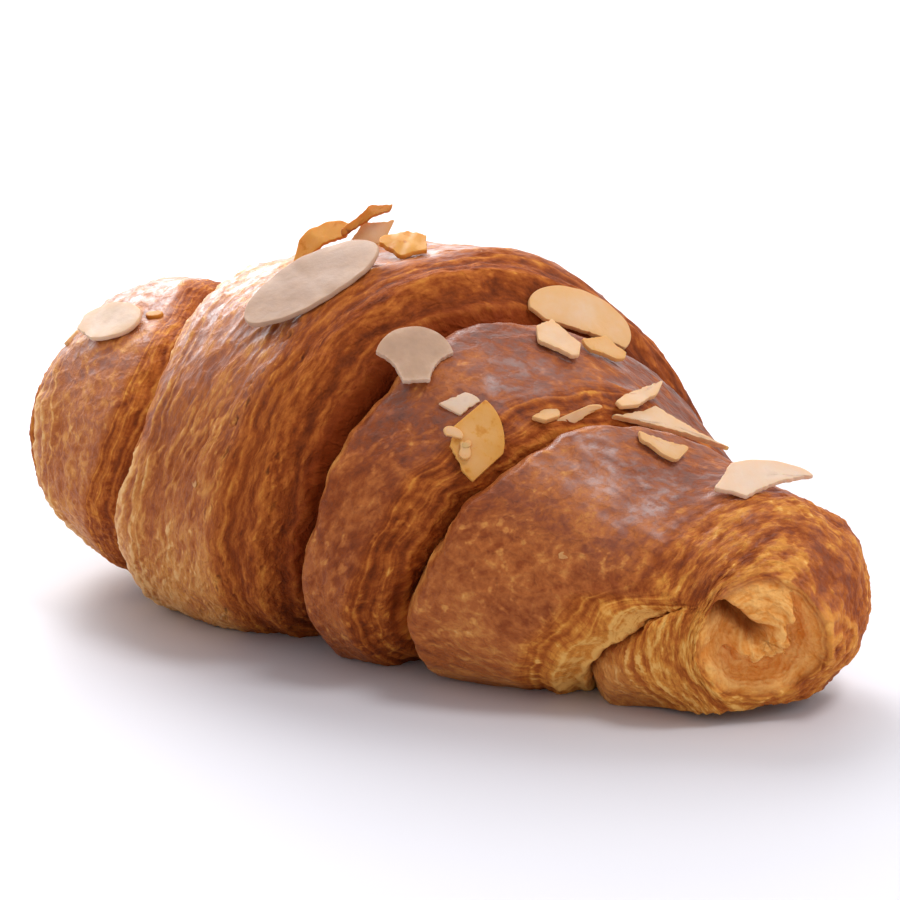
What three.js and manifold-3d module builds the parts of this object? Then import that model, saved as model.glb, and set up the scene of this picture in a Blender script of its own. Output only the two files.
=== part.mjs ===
// Almond croissant: a rolled pastry of six wraps with almond slices on its crust.
// Millimetres, +Z up. The roll lies along X on the floor at z = 0, its open end at +X and its front at -Y.
import * as THREE from 'three';
import Module from 'manifold-3d';

const DEG = Math.PI / 180;

// The roll's outline: radius along X, widest at the crest and swollen again at the open end
const CREST = { x: 7, radius: 32 };
const LEFT_TAPER = { reach: 84, power: 1.6, round: 0.36 };
const RIGHT_TAPER = { reach: 63.5, power: 1.5, round: 0.62 };
const END_SWELL = { x: 61.5, radius: 17.1, reach: 17, power: 2.8, round: 0.5 };
const WIDTH_RATIO = 1.14; // width over height of a cross-section
const SIT_RATIO = 0.85; // axis height over radius, so the base is flat
const TAIL_LIFT = { from: -34, to: -60, rise: 7.2 }; // the closed end curves up off the floor
const BASE_LIFT = { from: 44, to: 70, rise: 2.2 }; // the base leaves the floor near the open end

// Wraps from the closed end to the open end: step from the outline, mesh columns on rise, crown and slope,
// dough layers that show on the slope
const WRAPS = [
  { step: -0.5, columns: [0, 3, 2], layers: 0 },
  { step: -1.2, columns: [3, 4, 2], layers: 0 },
  { step: 0.4, columns: [3, 8, 9], layers: 3 },
  { step: -4, columns: [4, 3, 6], layers: 2 },
  { step: -0.8, columns: [4, 6, 8], layers: 3 },
  { step: 0, columns: [3, 2, 4], layers: 0 },
];

// Creases between neighbouring wraps: a tilted, swaying ring with a wall on each side
// lip -1: the wrap on the right overhangs; lip 1: the wrap on the left does
const CREASES = [
  { x: -62.5, tilt: -2, turn: 50, sway: 0, lean: 0, depth: 3, slope: 4, rise: 5, overhang: 0.6, lip: -1 },
  { x: -38, tilt: 3, turn: -57, sway: 5, lean: 33, depth: 4.2, slope: 9, rise: 4, overhang: 1, lip: -1 },
  { x: 14.3, tilt: 20, turn: 62, sway: 6, lean: 0, depth: 9.5, slope: 16, rise: 6, overhang: 0, lip: 1 },
  { x: 34.2, tilt: 20, turn: 48, sway: 4, lean: 0, depth: 8.5, slope: 8, rise: 5, overhang: 0, lip: 1 },
  { x: 54, tilt: 17, turn: 2, sway: 0, lean: 0, depth: 5, slope: 10, rise: 6, overhang: 1.4, lip: 1 },
];
const CREASE_FADE = 6; // wraps narrower than this have a shallower crease
const LAYER_RELIEF = 0.45; // height of the dough layers on a slope
const PUFF_RELIEF = [0.45, 0.3]; // height of the broad and the small unevenness

// Rims where the roll's skin turns into its end faces; the open rim is tighter at one angle
const OPEN_RIM = {
  x: 67.7, tilt: 6.6, turn: 74, round: 7.6, tight: 2, tightAt: -50,
  wide: 0.45, high: 0.6, drop: 0.4, shift: 8.6,
};
const CLOSED_RIM = { x: -70.4, tilt: -2.6, turn: 50, round: 10, ratio: 0.46 };
// Angles where the last wrap shows under the lip of the one before
const OPEN_MOUTH = { middle: -40, reach: 65, soft: 0.35, least: 0.8, blend: 3 };

// Closed end face: a bowl with a spiral hollow
const CLOSED_CUP = { bowl: 2.5, rows: 5 };
const SPIRAL = { from: 100, to: 400, near: 0.5, far: 0.78, width: 0.24, shallow: 1.5, deep: 3 };
// Open end face: a bowl, a tongue of dough that hangs from its top and a slot under the lip beside the tongue
// Places on the face are shares of its rim, across and up
const OPEN_CUP = { bowl: 4, rows: 11 };
const SLOT = { across: [-1.15, -0.66, -0.22], up: [0.34, 0.46, 0.2], above: 0.09, below: 0.2, deep: 5 };
const TONGUE = { left: -0.66, soft: 0.4, right: 0.36, lean: 0.08, tip: -0.3, crisp: 0.18, rise: 0.8 };

const AROUND = 56; // facets round the roll
const SLICE_THICK = 1.1;
const SLICE_SIDES = 14;
const SPLINTER_SIDES = 8;
const SHORTEST_SIDE = 0.15; // of a slice's outline
const FLAT_SHARE = 0.55; // of the way from a slice's middle to its edge, where its flat face is ringed
const BLUNT_SHARE = 0.94; // where its blunt edge begins
const CLEARANCE = 0.3; // between a slice and what it lies on
const PRESS_FROM = 14; // how far off a slice starts before it is pressed on
const OUTSIDE = 60; // from the roll's axis to well outside its skin
const SINK = 0.5; // how far a fused splinter goes into the crust

// Almond slices: place on the crust (x, angle round the roll), way they face (heading, elevation),
// turn in their plane, lift off the crust, long, wide, arch along the length and egg shape
// Breaks are straight cuts, given as direction and distance from the middle
const SLICES = {
  slice_whole: {
    x: -7.8, round: 62.7, face: [-1, 61], turn: 66, long: 23, wide: 12.6, arch: 0.5,
  },
  slice_shield: {
    x: 14.2, round: 47.8, face: [42, 52], turn: 0, long: 11.5, wide: 12, arch: 0.2,
    breaks: [[-148, 3.9], [-35, 4], [-90, 4.2]],
  },
  slice_split: {
    x: 25.7, round: 33.8, face: [44, 28], turn: 80, long: 13.4, wide: 10.4, arch: 0.3, egg: 0.1,
    breaks: [[49, 2.8], [88, 2.5], [124, 2.9], [142, 3.9], [-129, 4.9]],
  },
  slice_crest: {
    x: 21.7, round: 108, face: [73, 46], turn: 148, long: 16.8, wide: 11, arch: 0.4,
    breaks: [[90, 2.5], [62, 4.9]],
  },
  slice_stub: {
    x: 26.3, round: 84.6, face: [60, 62], turn: 110, long: 9.6, wide: 7,
    breaks: [[112, 2.9], [54, 3.1], [0, 3.3], [-88, 1.8], [-137, 3.5]],
  },
  slice_sliver: {
    x: 29.8, round: 98.6, face: [66, 52], turn: 150, long: 7.4, wide: 5, arch: 0.2,
    breaks: [[88, 2.1], [176, 3.2], [-119, 1.4], [-61, 1.7]],
  },
  slice_strip: {
    x: 38.3, round: 91, face: [82, 60], turn: 8, long: 13.8, wide: 5.2,
    breaks: [[88, 0.8], [101, 1.3], [-105, 2.2], [-83, 1.5], [-64, 2.6], [170, 5]],
  },
  slice_long: {
    x: 43.2, round: 92, face: [78, 57], turn: 146, long: 22, wide: 12, arch: 0.3,
    breaks: [[90, 0.1], [-56, 5], [-112, 3.4], [-20, 9.4]],
  },
  slice_chip: {
    x: 46.8, round: 75.4, face: [68, 46], turn: 146, long: 8, wide: 6,
    breaks: [[72, 2.2], [86, 2.3], [156, 3.5], [-86, 0.4], [20, 3.5]],
  },
  slice_right: {
    x: 60.2, round: 90.5, face: [52, 62], turn: -4, long: 16, wide: 8.2, arch: 0.3,
    breaks: [[146, 5.3], [-114, 4.4], [-68, 2]],
  },
  slice_left: {
    x: -48.9, round: 51.9, face: [-6, 56], turn: 18, long: 12, wide: 8.2, arch: 0.3,
    breaks: [[180, 5.4], [-125, 4]],
  },
  slice_bit: {
    x: -11, round: 93, face: [38, 22], turn: 8, long: 8, wide: 5.4, lift: 2.6, arch: 0.4,
    breaks: [[-98, 1.7], [-28, 2], [87, 2], [137, 2.6]],
  },
  toasted_curl: {
    x: -20.4, round: 91.4, face: [30, 44], turn: 40, long: 11, wide: 4.4, arch: 1.6,
    breaks: [[-92, 1.5], [-50, 3.6], [130, 3.2]],
  },
  toasted_twist: {
    x: -12.2, round: 92, face: [38, 30], turn: 36, long: 9.4, wide: 3.4, lift: 5.4, arch: 0.8,
    breaks: [[93, 1], [63, 1.8], [-43, 3.6], [-96, 0.8]],
  },
  toasted_bit: {
    x: -2.6, round: 87.5, face: [50, 72], turn: 10, long: 8, wide: 8,
    breaks: [[104, 2.8], [40, 3.4], [-20, 3.2], [-85, 3.6], [-157, 3.3]],
  },
  slice_back: {
    x: -4, round: 146, face: [172, 36], turn: 24, long: 20, wide: 11, arch: 0.4, egg: 0.12,
    breaks: [[12, 7.6], [-40, 6.6]],
  },
  slice_back_half: {
    x: 13, round: 158, face: [176, 22], turn: -35, long: 13, wide: 10, arch: 0.3,
    breaks: [[120, 3.4], [170, 4.4], [-130, 4.6]],
  },
  slice_back_left: {
    x: -47, round: 140, face: [190, 40], turn: 60, long: 15, wide: 9, arch: 0.3, egg: 0.1,
    breaks: [[30, 5.5], [-110, 4]],
  },
  slice_back_chip: {
    x: 46, round: 158, face: [156, 30], turn: 20, long: 9, wide: 6,
    breaks: [[80, 2], [-60, 2.6], [160, 3.4]],
  },
};
const TOASTED = ['toasted_curl', 'toasted_twist', 'toasted_bit'];

// Splinters too small to stand alone, fused to the crust
const SPLINTERS = [
  { x: 22.7, round: 43.1, turn: 0, long: 6.2, wide: 3.8, breaks: [[114, 1.3], [-52, 1.6], [-122, 1.5]] },
  { x: 32.2, round: 57, turn: 10, long: 4.6, wide: 3.2, breaks: [[112, 0.9], [-85, 1.4], [-136, 1.7]] },
  { x: 35.2, round: 66, turn: 16, long: 7.6, wide: 2, breaks: [[94, 0.7], [-80, 0.8]] },
  { x: -59, round: 50.5, turn: -12, long: 6, wide: 2.8, breaks: [[75, 1], [110, 1.1], [-100, 1]] },
  { x: -42.8, round: 62, turn: 20, long: 3.2, wide: 1.8, breaks: [[90, 0.6]] },
  { x: 10, round: 144, turn: 60, long: 5.6, wide: 3.2, breaks: [[110, 1.1], [-60, 1.3]] },
  { x: -26, round: 140, turn: 15, long: 6, wide: 2.8, breaks: [[80, 0.9]] },
  { x: 36, round: 160, turn: 50, long: 5, wide: 3, breaks: [[-110, 1], [20, 1.8]] },
];

const MIDDLE = { x: 0.65, y: 0.61 }; // middle of the whole, which the origin lies under

const COLOURS = { pastry: 0xa8632f, almond: 0xe6c7a4, toasted: 0xc9792b };

const smooth = (t) => {
  const c = Math.min(1, Math.max(0, t));
  return c * c * (3 - 2 * c);
};
const taper = (t, s) => (1 - Math.min(Math.abs(t), 0.9995) ** s.power) ** s.round;
const quarterFall = (t) => {
  const c = Math.min(1, Math.max(0, t));
  return 1 - Math.sqrt(1 - c * c);
};

function outlineRadius(x) {
  const side = x < CREST.x ? LEFT_TAPER : RIGHT_TAPER;
  const body = CREST.radius * taper((x - CREST.x) / side.reach, side);
  const swell = END_SWELL.radius * taper((x - END_SWELL.x) / END_SWELL.reach, END_SWELL);
  return (body ** 8 + swell ** 8) ** (1 / 8);
}

function axisHeight(x) {
  const lift = TAIL_LIFT.rise * smooth((x - TAIL_LIFT.from) / (TAIL_LIFT.to - TAIL_LIFT.from));
  return SIT_RATIO * outlineRadius(x) + lift;
}

// Height of the roll's flat underside
function baseHeight(x) {
  return BASE_LIFT.rise * smooth((x - BASE_LIFT.from) / (BASE_LIFT.to - BASE_LIFT.from));
}

function ringX(ring, angle) {
  const sway = (ring.sway || 0) * Math.cos(2 * (angle - (ring.lean || 0) * DEG));
  return ring.x + ring.tilt * Math.sin(angle - ring.turn * DEG) + sway;
}

function smoothLesser(a, b, blend) {
  const h = Math.min(1, Math.max(0, 0.5 + (0.5 * (b - a)) / blend));
  return b * (1 - h) + a * h - blend * h * (1 - h);
}

// Share of the last wrap that shows at one angle round the roll
function lastShows(angle) {
  const near = Math.cos(angle - OPEN_MOUTH.middle * DEG) - Math.cos(OPEN_MOUTH.reach * DEG);
  return smooth(near / OPEN_MOUTH.soft);
}

// Where the rims and creases lie along X at one angle round the roll
function edgesAt(angle) {
  const openRim = ringX(OPEN_RIM, angle);
  const edges = [ringX(CLOSED_RIM, angle), ...CREASES.map((crease) => ringX(crease, angle)), openRim];
  const edge = smoothLesser(edges[5], openRim - OPEN_MOUTH.least, OPEN_MOUTH.blend);
  edges[5] = openRim - Math.max(OPEN_MOUTH.least, (openRim - edge) * lastShows(angle));
  return edges;
}

function puff(x, angle) {
  const broad = Math.sin(5 * angle + 0.11 * x) * Math.sin(0.17 * x - 2 * angle + 1);
  const small = Math.sin(8 * angle - 0.23 * x + 2) * Math.sin(0.13 * x + 3 * angle);
  return PUFF_RELIEF[0] * broad + PUFF_RELIEF[1] * small;
}

// A wall's place across and its fall, from the crease (t = 0) to the crown (t = 1)
function wall(t, overhangs) {
  const a = (t * Math.PI) / 2;
  return { across: overhangs ? 1 - Math.cos(a) : t, fall: 1 - Math.sin(a) };
}

// One line of points along the roll at one angle, over every wrap from rim to rim
function profileAt(angle) {
  const edges = edgesAt(angle);
  const widths = WRAPS.map((_, k) => edges[k + 1] - edges[k]);
  const upper = smooth((Math.sin(angle) + 0.6) / 1.2);
  const full = widths.map((width) => smooth(width / CREASE_FADE));
  const shows = lastShows(angle);
  const fades = CREASES.map((crease, k) => full[k] * full[k + 1] * (k + 1 < CREASES.length ? 1 : shows));
  const openRound = OPEN_RIM.round - OPEN_RIM.tight * Math.cos(angle - OPEN_RIM.tightAt * DEG);
  const points = [];
  WRAPS.forEach((wrap, k) => {
    const before = CREASES[k - 1];
    const after = CREASES[k];
    const width = widths[k];
    const rise = before ? Math.min(before.rise, 0.45 * width) : 0;
    const slope = Math.min(after ? after.slope : openRound, 0.45 * width);
    const step = upper * (after ? wrap.step : wrap.step * shows + WRAPS[k - 1].step * (1 - shows));
    const put = (x, shift, fall, fade, depth, layer) => {
      const sunk = (depth + step) * fade * fall;
      let r = outlineRadius(x) + step - sunk + puff(x, angle) * (1 - 0.5 * fall * fade) + layer;
      r *= 1 - (1 - CLOSED_RIM.ratio) * quarterFall(1 - (x - edges[0]) / CLOSED_RIM.round);
      const openFall = quarterFall(1 - (edges[6] - x) / openRound);
      const wide = r * (1 - (1 - OPEN_RIM.wide) * openFall);
      const high = r * (1 - (1 - OPEN_RIM.high) * openFall);
      const xx = x + shift;
      const y = -Math.cos(angle) * wide * WIDTH_RATIO - OPEN_RIM.shift * openFall;
      const z = axisHeight(xx) + Math.sin(angle) * high - OPEN_RIM.drop * openFall;
      points.push(new THREE.Vector3(xx, y, z));
    };
    const [onRise, onCrown, onSlope] = wrap.columns;
    for (let i = 0; i < onRise; i++) {
      const { across, fall } = wall(i / onRise, before.lip < 0);
      const fade = fades[k - 1];
      const shift = before.lip < 0 ? -before.overhang * 4 * fall * (1 - fall) * fade : 0;
      put(edges[k] + rise * across, shift, fall, fade, before.depth, 0);
    }
    for (let i = 0; i < onCrown; i++) {
      put(edges[k] + rise + ((width - rise - slope) * i) / onCrown, 0, 0, 0, 0, 0);
    }
    for (let i = 0; i < onSlope + (after ? 0 : 1); i++) {
      const t = i / onSlope;
      const { across, fall } = wall(1 - t, !after || after.lip > 0);
      const x = edges[k + 1] - slope * across;
      if (!after) {
        put(x, 0, 0, 0, 0, 0);
        continue;
      }
      const fade = fades[k];
      const shift = after.lip > 0 ? after.overhang * 4 * fall * (1 - fall) * fade : 0;
      const layer = LAYER_RELIEF * Math.sin(2 * Math.PI * wrap.layers * t) * Math.sin(Math.PI * t);
      put(x, shift, fall, fade, after.depth, layer * fade);
    }
  });
  return points;
}

// Height of the closed end face over its rim, at an angle in degrees and a share of the way in to the middle
function closedFace(inward, angle) {
  const span = SPIRAL.to - SPIRAL.from;
  const along = ((angle - SPIRAL.from + 720) % 360) / span;
  const shows = smooth(along / 0.25) * smooth((360 / span - along) / 0.18);
  const way = Math.min(1, along);
  const depth = (SPIRAL.shallow + (SPIRAL.deep - SPIRAL.shallow) * way) * shows;
  const place = SPIRAL.near + (SPIRAL.far - SPIRAL.near) * way * way;
  const hollow = Math.exp(-(((1 - inward - place) / SPIRAL.width) ** 2)) * smooth(inward / 0.12);
  return -CLOSED_CUP.bowl * smooth(inward / 0.6) - depth * hollow;
}

// Height of the slot's upper edge on the open end face
function slotLine(across) {
  const [left, bend, right] = SLOT.across;
  const [start, high, end] = SLOT.up;
  if (across < bend) return start + (high - start) * Math.max(0, (across - left) / (bend - left));
  return high + (end - high) * Math.min(1, (across - bend) / (right - bend));
}

// Height of the open end face over its rim
function openFace(inward, angle) {
  const across = -Math.cos(angle * DEG) * (1 - inward);
  const up = Math.sin(angle * DEG) * (1 - inward);
  const over = up - slotLine(across);
  const past = Math.max(0, across - SLOT.across[2]) / SLOT.below;
  const slot = Math.exp(-((over / (over > 0 ? SLOT.above : SLOT.below)) ** 2) - past ** 2);
  const left = Math.max(smooth((across - TONGUE.left) / TONGUE.soft), smooth(over / TONGUE.crisp));
  const right = smooth((TONGUE.right - TONGUE.lean * up - across) / TONGUE.crisp);
  const tongue = left * right * smooth((up - TONGUE.tip) / TONGUE.crisp);
  const floor = -OPEN_CUP.bowl * smooth(inward / 0.6) * (1 - tongue);
  return floor + TONGUE.rise * tongue * smooth(inward / 0.5) - SLOT.deep * slot * smooth(inward / 0.2);
}

// Rings of points from a rim in to the middle of an end face
function cupRings(rim, rows, face, outward) {
  const middle = rim.reduce((sum, p) => sum.add(p), new THREE.Vector3()).divideScalar(rim.length);
  const quarter = rim.length / 4;
  const up = rim[quarter].clone().sub(rim[3 * quarter]);
  const across = rim[0].clone().sub(rim[2 * quarter]);
  const normal = up.cross(across).normalize();
  if (normal.x * outward < 0) normal.negate();
  const rings = [];
  for (let i = 1; i <= rows; i++) {
    const inward = i / rows;
    const heights = rim.map((_, j) => face(inward, (360 * j) / rim.length));
    if (i === rows) {
      const mean = heights.reduce((sum, h) => sum + h, 0) / heights.length;
      rings.push([middle.clone().addScaledVector(normal, mean)]);
    } else {
      rings.push(rim.map((p, j) => p.clone().lerp(middle, inward).addScaledVector(normal, heights[j])));
    }
  }
  return rings;
}

// A closed skin over a row of rings; a ring of one point is a pole
function skin(rings) {
  const positions = [];
  const starts = [];
  for (const ring of rings) {
    starts.push(positions.length / 3);
    for (const p of ring) positions.push(p.x, p.y, p.z);
  }
  const index = [];
  for (let i = 0; i + 1 < rings.length; i++) {
    const count = Math.max(rings[i].length, rings[i + 1].length);
    for (let j = 0; j < count; j++) {
      const k = (j + 1) % count;
      const pick = (ring, n) => starts[ring] + (rings[ring].length === 1 ? 0 : n);
      const a = pick(i, j);
      const b = pick(i, k);
      const c = pick(i + 1, j);
      const d = pick(i + 1, k);
      if (a !== b) index.push(a, b, d);
      if (c !== d) index.push(a, d, c);
    }
  }
  const geometry = new THREE.BufferGeometry();
  geometry.setAttribute('position', new THREE.Float32BufferAttribute(positions, 3));
  geometry.setIndex(index);
  return outward(geometry);
}

function signedVolume(geometry) {
  const p = geometry.attributes.position;
  const index = geometry.index.array;
  const [a, b, c] = [new THREE.Vector3(), new THREE.Vector3(), new THREE.Vector3()];
  let volume = 0;
  for (let i = 0; i < index.length; i += 3) {
    a.fromBufferAttribute(p, index[i]);
    b.fromBufferAttribute(p, index[i + 1]);
    c.fromBufferAttribute(p, index[i + 2]);
    volume += a.dot(b.cross(c)) / 6;
  }
  return volume;
}

function outward(geometry) {
  if (signedVolume(geometry) < 0) {
    const index = geometry.index.array;
    for (let i = 0; i < index.length; i += 3) [index[i + 1], index[i + 2]] = [index[i + 2], index[i + 1]];
  }
  return geometry;
}

function rollSkin() {
  const lines = [];
  for (let j = 0; j < AROUND; j++) lines.push(profileAt((2 * Math.PI * j) / AROUND));
  const rings = lines[0].map((_, i) => lines.map((line) => line[i]));
  const closedEnd = cupRings(rings[0], CLOSED_CUP.rows, closedFace, -1).reverse();
  const openEnd = cupRings(rings[rings.length - 1], OPEN_CUP.rows, openFace, 1);
  const all = [...closedEnd, ...rings, ...openEnd];
  for (const ring of all) for (const p of ring) p.z = Math.max(p.z, baseHeight(p.x));
  return skin(all);
}

// A slice's outline: an egg-shaped oval with straight breaks
function sliceOutline(slice, sides) {
  let points = [];
  for (let i = 0; i < sides; i++) {
    const a = (2 * Math.PI * i) / sides;
    const v = (slice.wide / 2) * Math.sin(a) * (1 - (slice.egg || 0) * Math.cos(a));
    points.push(new THREE.Vector2((slice.long / 2) * Math.cos(a), v));
  }
  for (const [direction, distance] of slice.breaks || []) {
    const way = new THREE.Vector2(Math.cos(direction * DEG), Math.sin(direction * DEG));
    const kept = [];
    points.forEach((p, i) => {
      const q = points[(i + 1) % points.length];
      const dp = p.dot(way) - distance;
      const dq = q.dot(way) - distance;
      if (dp <= 0) kept.push(p);
      if (dp * dq < 0) kept.push(p.clone().lerp(q, dp / (dp - dq)));
    });
    points = kept;
  }
  return points.filter((p, i) => p.distanceTo(points[(i + 1) % points.length]) > SHORTEST_SIDE);
}

// Rings of a slice in its own plane: underside, blunt edge, top
function sliceRings(slice, sides) {
  const outline = sliceOutline(slice, sides);
  const middle = outline.reduce((sum, p) => sum.add(p), new THREE.Vector2()).divideScalar(outline.length);
  const half = SLICE_THICK / 2;
  const under = [[0, -half], [FLAT_SHARE, -half], [BLUNT_SHARE, -half]];
  const over = [[BLUNT_SHARE, half], [FLAT_SHARE, half], [0, half]];
  const levels = [...under, [1, 0], ...over];
  return levels.map(([share, z]) => {
    const ring = share === 0 ? [middle] : outline.map((p) => middle.clone().lerp(p, share));
    const droop = (p) => (slice.arch || 0) * (p.x / (slice.long / 2)) ** 2;
    return ring.map((p) => new THREE.Vector3(p.x, p.y, z - droop(p)));
  });
}

function faceNormal([heading, elevation]) {
  const level = Math.cos(elevation * DEG);
  const [x, y] = [Math.sin(heading * DEG) * level, -Math.cos(heading * DEG) * level];
  return new THREE.Vector3(x, y, Math.sin(elevation * DEG));
}

function firstHit(from, way, targets) {
  return new THREE.Raycaster(from, way.clone().normalize()).intersectObjects(targets)[0];
}

// A slice's frame: origin on the crust, axes along its length, width and face
// A slice without a stated face lies flat on the crust
function sliceFrame(slice, crust) {
  const angle = slice.round * DEG;
  const axis = new THREE.Vector3(slice.x, 0, axisHeight(slice.x));
  const away = new THREE.Vector3(0, -Math.cos(angle) * WIDTH_RATIO, Math.sin(angle));
  const seat = firstHit(axis.clone().addScaledVector(away, OUTSIDE), away.clone().negate(), [crust]);
  const origin = seat.point.clone();
  origin.z += slice.lift || 0;
  const normal = slice.face ? faceNormal(slice.face) : seat.face.normal.clone();
  const level = new THREE.Vector3(0, 0, 1).cross(normal).normalize();
  const climb = normal.clone().cross(level);
  const turn = slice.turn * DEG;
  const along = level.clone().multiplyScalar(Math.cos(turn)).addScaledVector(climb, Math.sin(turn));
  const across = normal.clone().cross(along);
  const matrix = new THREE.Matrix4().makeBasis(along, across, normal).setPosition(origin);
  return { normal, matrix };
}

// A slice pressed along its face onto what lies below, kept clear of it
function settledSlice(slice, targets) {
  const frame = sliceFrame(slice, targets[0]);
  const rings = sliceRings(slice, SLICE_SIDES).map((ring) => ring.map((p) => p.applyMatrix4(frame.matrix)));
  const under = rings.slice(0, 4).flat();
  const probes = [...under];
  rings[2].forEach((p, i) => {
    const inner = rings[1][i];
    const next = rings[2][(i + 1) % rings[2].length];
    probes.push(p.clone().lerp(inner, 0.5), p.clone().lerp(next, 0.5));
    probes.push(inner.clone().lerp(rings[0][0], 0.5));
  });
  let raise = -Infinity;
  for (const p of probes) {
    const above = p.clone().addScaledVector(frame.normal, PRESS_FROM);
    const hit = firstHit(above, frame.normal.clone().negate(), targets);
    if (hit) raise = Math.max(raise, hit.point.clone().sub(p).dot(frame.normal));
  }
  const shift = frame.normal.clone().multiplyScalar(raise + CLEARANCE);
  for (const ring of rings) for (const p of ring) p.add(shift);
  return skin(rings);
}

function fusedSplinter(splinter, crust) {
  const frame = sliceFrame(splinter, crust);
  const shift = frame.normal.clone().multiplyScalar(SLICE_THICK / 2 - SINK);
  const rings = sliceRings(splinter, SPLINTER_SIDES);
  return skin(rings.map((ring) => ring.map((p) => p.applyMatrix4(frame.matrix).add(shift))));
}

const wasm = await Module();
wasm.setup();

function toManifold(geometry) {
  const vertProperties = new Float32Array(geometry.attributes.position.array);
  const triVerts = new Uint32Array(geometry.index.array);
  return new wasm.Manifold(new wasm.Mesh({ numProp: 3, vertProperties, triVerts }));
}

function fromManifold(solid) {
  const { vertProperties, triVerts, numProp } = solid.getMesh();
  const positions = [];
  for (let i = 0; i < vertProperties.length; i += numProp) {
    positions.push(...vertProperties.slice(i, i + 3));
  }
  const geometry = new THREE.BufferGeometry();
  geometry.setAttribute('position', new THREE.Float32BufferAttribute(positions, 3));
  geometry.setIndex(Array.from(triVerts));
  return geometry;
}

function named(name, geometry, colour, roughness) {
  geometry.computeVertexNormals();
  const look = { color: colour, roughness, metalness: 0, side: THREE.DoubleSide };
  const material = new THREE.MeshStandardMaterial(look);
  const mesh = new THREE.Mesh(geometry, material);
  mesh.name = name;
  mesh.updateMatrixWorld();
  return mesh;
}

const bare = named('bare', rollSkin(), COLOURS.pastry, 0.5);
let solid = toManifold(bare.geometry);
for (const splinter of SPLINTERS) solid = solid.add(toManifold(fusedSplinter(splinter, bare)));
const pastry = named('pastry', fromManifold(solid), COLOURS.pastry, 0.5);

const croissant = new THREE.Group();
croissant.name = 'almond_croissant';
croissant.add(pastry);
for (const [name, slice] of Object.entries(SLICES)) {
  const colour = TOASTED.includes(name) ? COLOURS.toasted : COLOURS.almond;
  croissant.add(named(name, settledSlice(slice, [...croissant.children]), colour, 0.6));
}

for (const mesh of croissant.children) mesh.geometry.translate(-MIDDLE.x, -MIDDLE.y, 0);

export default croissant;
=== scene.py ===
# Almond croissant: a rolled pastry of six wraps with almond slices on its crust
import math

import bpy
import numpy as np
from mathutils import Matrix, Vector
from mathutils.bvhtree import BVHTree


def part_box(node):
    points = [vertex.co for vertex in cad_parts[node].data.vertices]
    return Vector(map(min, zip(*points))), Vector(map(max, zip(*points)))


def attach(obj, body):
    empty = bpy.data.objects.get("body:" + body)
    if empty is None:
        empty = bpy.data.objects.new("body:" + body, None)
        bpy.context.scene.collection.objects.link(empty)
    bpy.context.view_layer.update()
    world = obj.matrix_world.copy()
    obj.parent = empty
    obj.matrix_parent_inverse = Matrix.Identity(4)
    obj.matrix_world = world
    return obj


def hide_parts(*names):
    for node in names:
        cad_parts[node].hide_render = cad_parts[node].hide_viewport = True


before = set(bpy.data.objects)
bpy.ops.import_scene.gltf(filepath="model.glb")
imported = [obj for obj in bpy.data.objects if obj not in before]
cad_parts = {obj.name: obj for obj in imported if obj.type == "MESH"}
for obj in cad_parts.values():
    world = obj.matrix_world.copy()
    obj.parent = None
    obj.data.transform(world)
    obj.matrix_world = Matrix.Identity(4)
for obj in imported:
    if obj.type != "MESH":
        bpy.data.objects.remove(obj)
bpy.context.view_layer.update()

MM = 0.001
TURN = 2 * math.pi
SEED = 7

# The roll's form, in millimetres, as in the part's solids
CREST = dict(x=7, radius=32)
LEFT_TAPER = dict(reach=84, power=1.6, round=0.36)
RIGHT_TAPER = dict(reach=63.5, power=1.5, round=0.62)
END_SWELL = dict(x=61.5, radius=17.1, reach=17, power=2.8, round=0.5)
SWELL_BLEND = 8
TAPER_END = 0.9995
WIDTH_RATIO = 1.14
SIT_RATIO = 0.85
TAIL_LIFT = dict(start=-34, end=-60, rise=7.2)
BASE_LIFT = dict(start=44, end=70, rise=2.2)
MIDDLE = (0.65, 0.61)

# Wraps from the closed end: step from the outline, mesh columns on rise, crown and slope, layers on the
# slope, how brown the crown and the slope are baked (the third wrap's browner slope is partly baked colour
# and partly painted shade on a side turned from the light), how ridged the skin is, how golden the torn lip
# is and how porous the border of the crown is
WRAPS = [
    dict(step=-0.5, columns=(0, 8, 6), layers=0, crown=0.04, side=0.0, ridged=0.6, lip=0, pores=0),
    dict(step=-1.2, columns=(8, 18, 16), layers=0, crown=0.02, side=0.08, ridged=0.8, lip=0, pores=0),
    dict(step=0.4, columns=(10, 48, 36), layers=3, crown=0.04, side=0.26, ridged=1, lip=0.3, pores=1),
    dict(step=-4, columns=(20, 12, 22), layers=2, crown=0.22, side=0.08, ridged=0.6, lip=0.2, pores=0),
    dict(step=-0.8, columns=(18, 18, 24), layers=3, crown=0.1, side=-0.4, ridged=0.5, lip=1, pores=0.4),
    dict(step=0, columns=(10, 8, 20), layers=0, crown=-0.1, side=-0.1, ridged=0.4, lip=0, pores=0),
]
# Creases between the wraps; ragged is how uneven the torn edge beside the crease is, and the last value
# how much painted shade darkens its groove
CREASES = [
    dict(
        x=-62.5, tilt=-2, turn=50, sway=0, lean=0,
        depth=3, slope=4, rise=5, overhang=0.6, lip=-1, ragged=0.2, groove_shade=0.8,
    ),
    dict(
        x=-38, tilt=3, turn=-57, sway=5, lean=33,
        depth=4.2, slope=9, rise=4, overhang=1, lip=-1, ragged=0.4, groove_shade=0.8,
    ),
    dict(
        x=14.3, tilt=20, turn=62, sway=6, lean=0,
        depth=9.5, slope=16, rise=6, overhang=0, lip=1, ragged=0.5, groove_shade=1,
    ),
    dict(
        x=34.2, tilt=20, turn=48, sway=4, lean=0,
        depth=8.5, slope=8, rise=5, overhang=0, lip=1, ragged=0.5, groove_shade=0.5,
    ),
    dict(
        x=54, tilt=17, turn=2, sway=0, lean=0,
        depth=5, slope=10, rise=6, overhang=1.4, lip=1, ragged=0.45, groove_shade=0.8,
    ),
]
CREASE_FADE = 6
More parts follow.
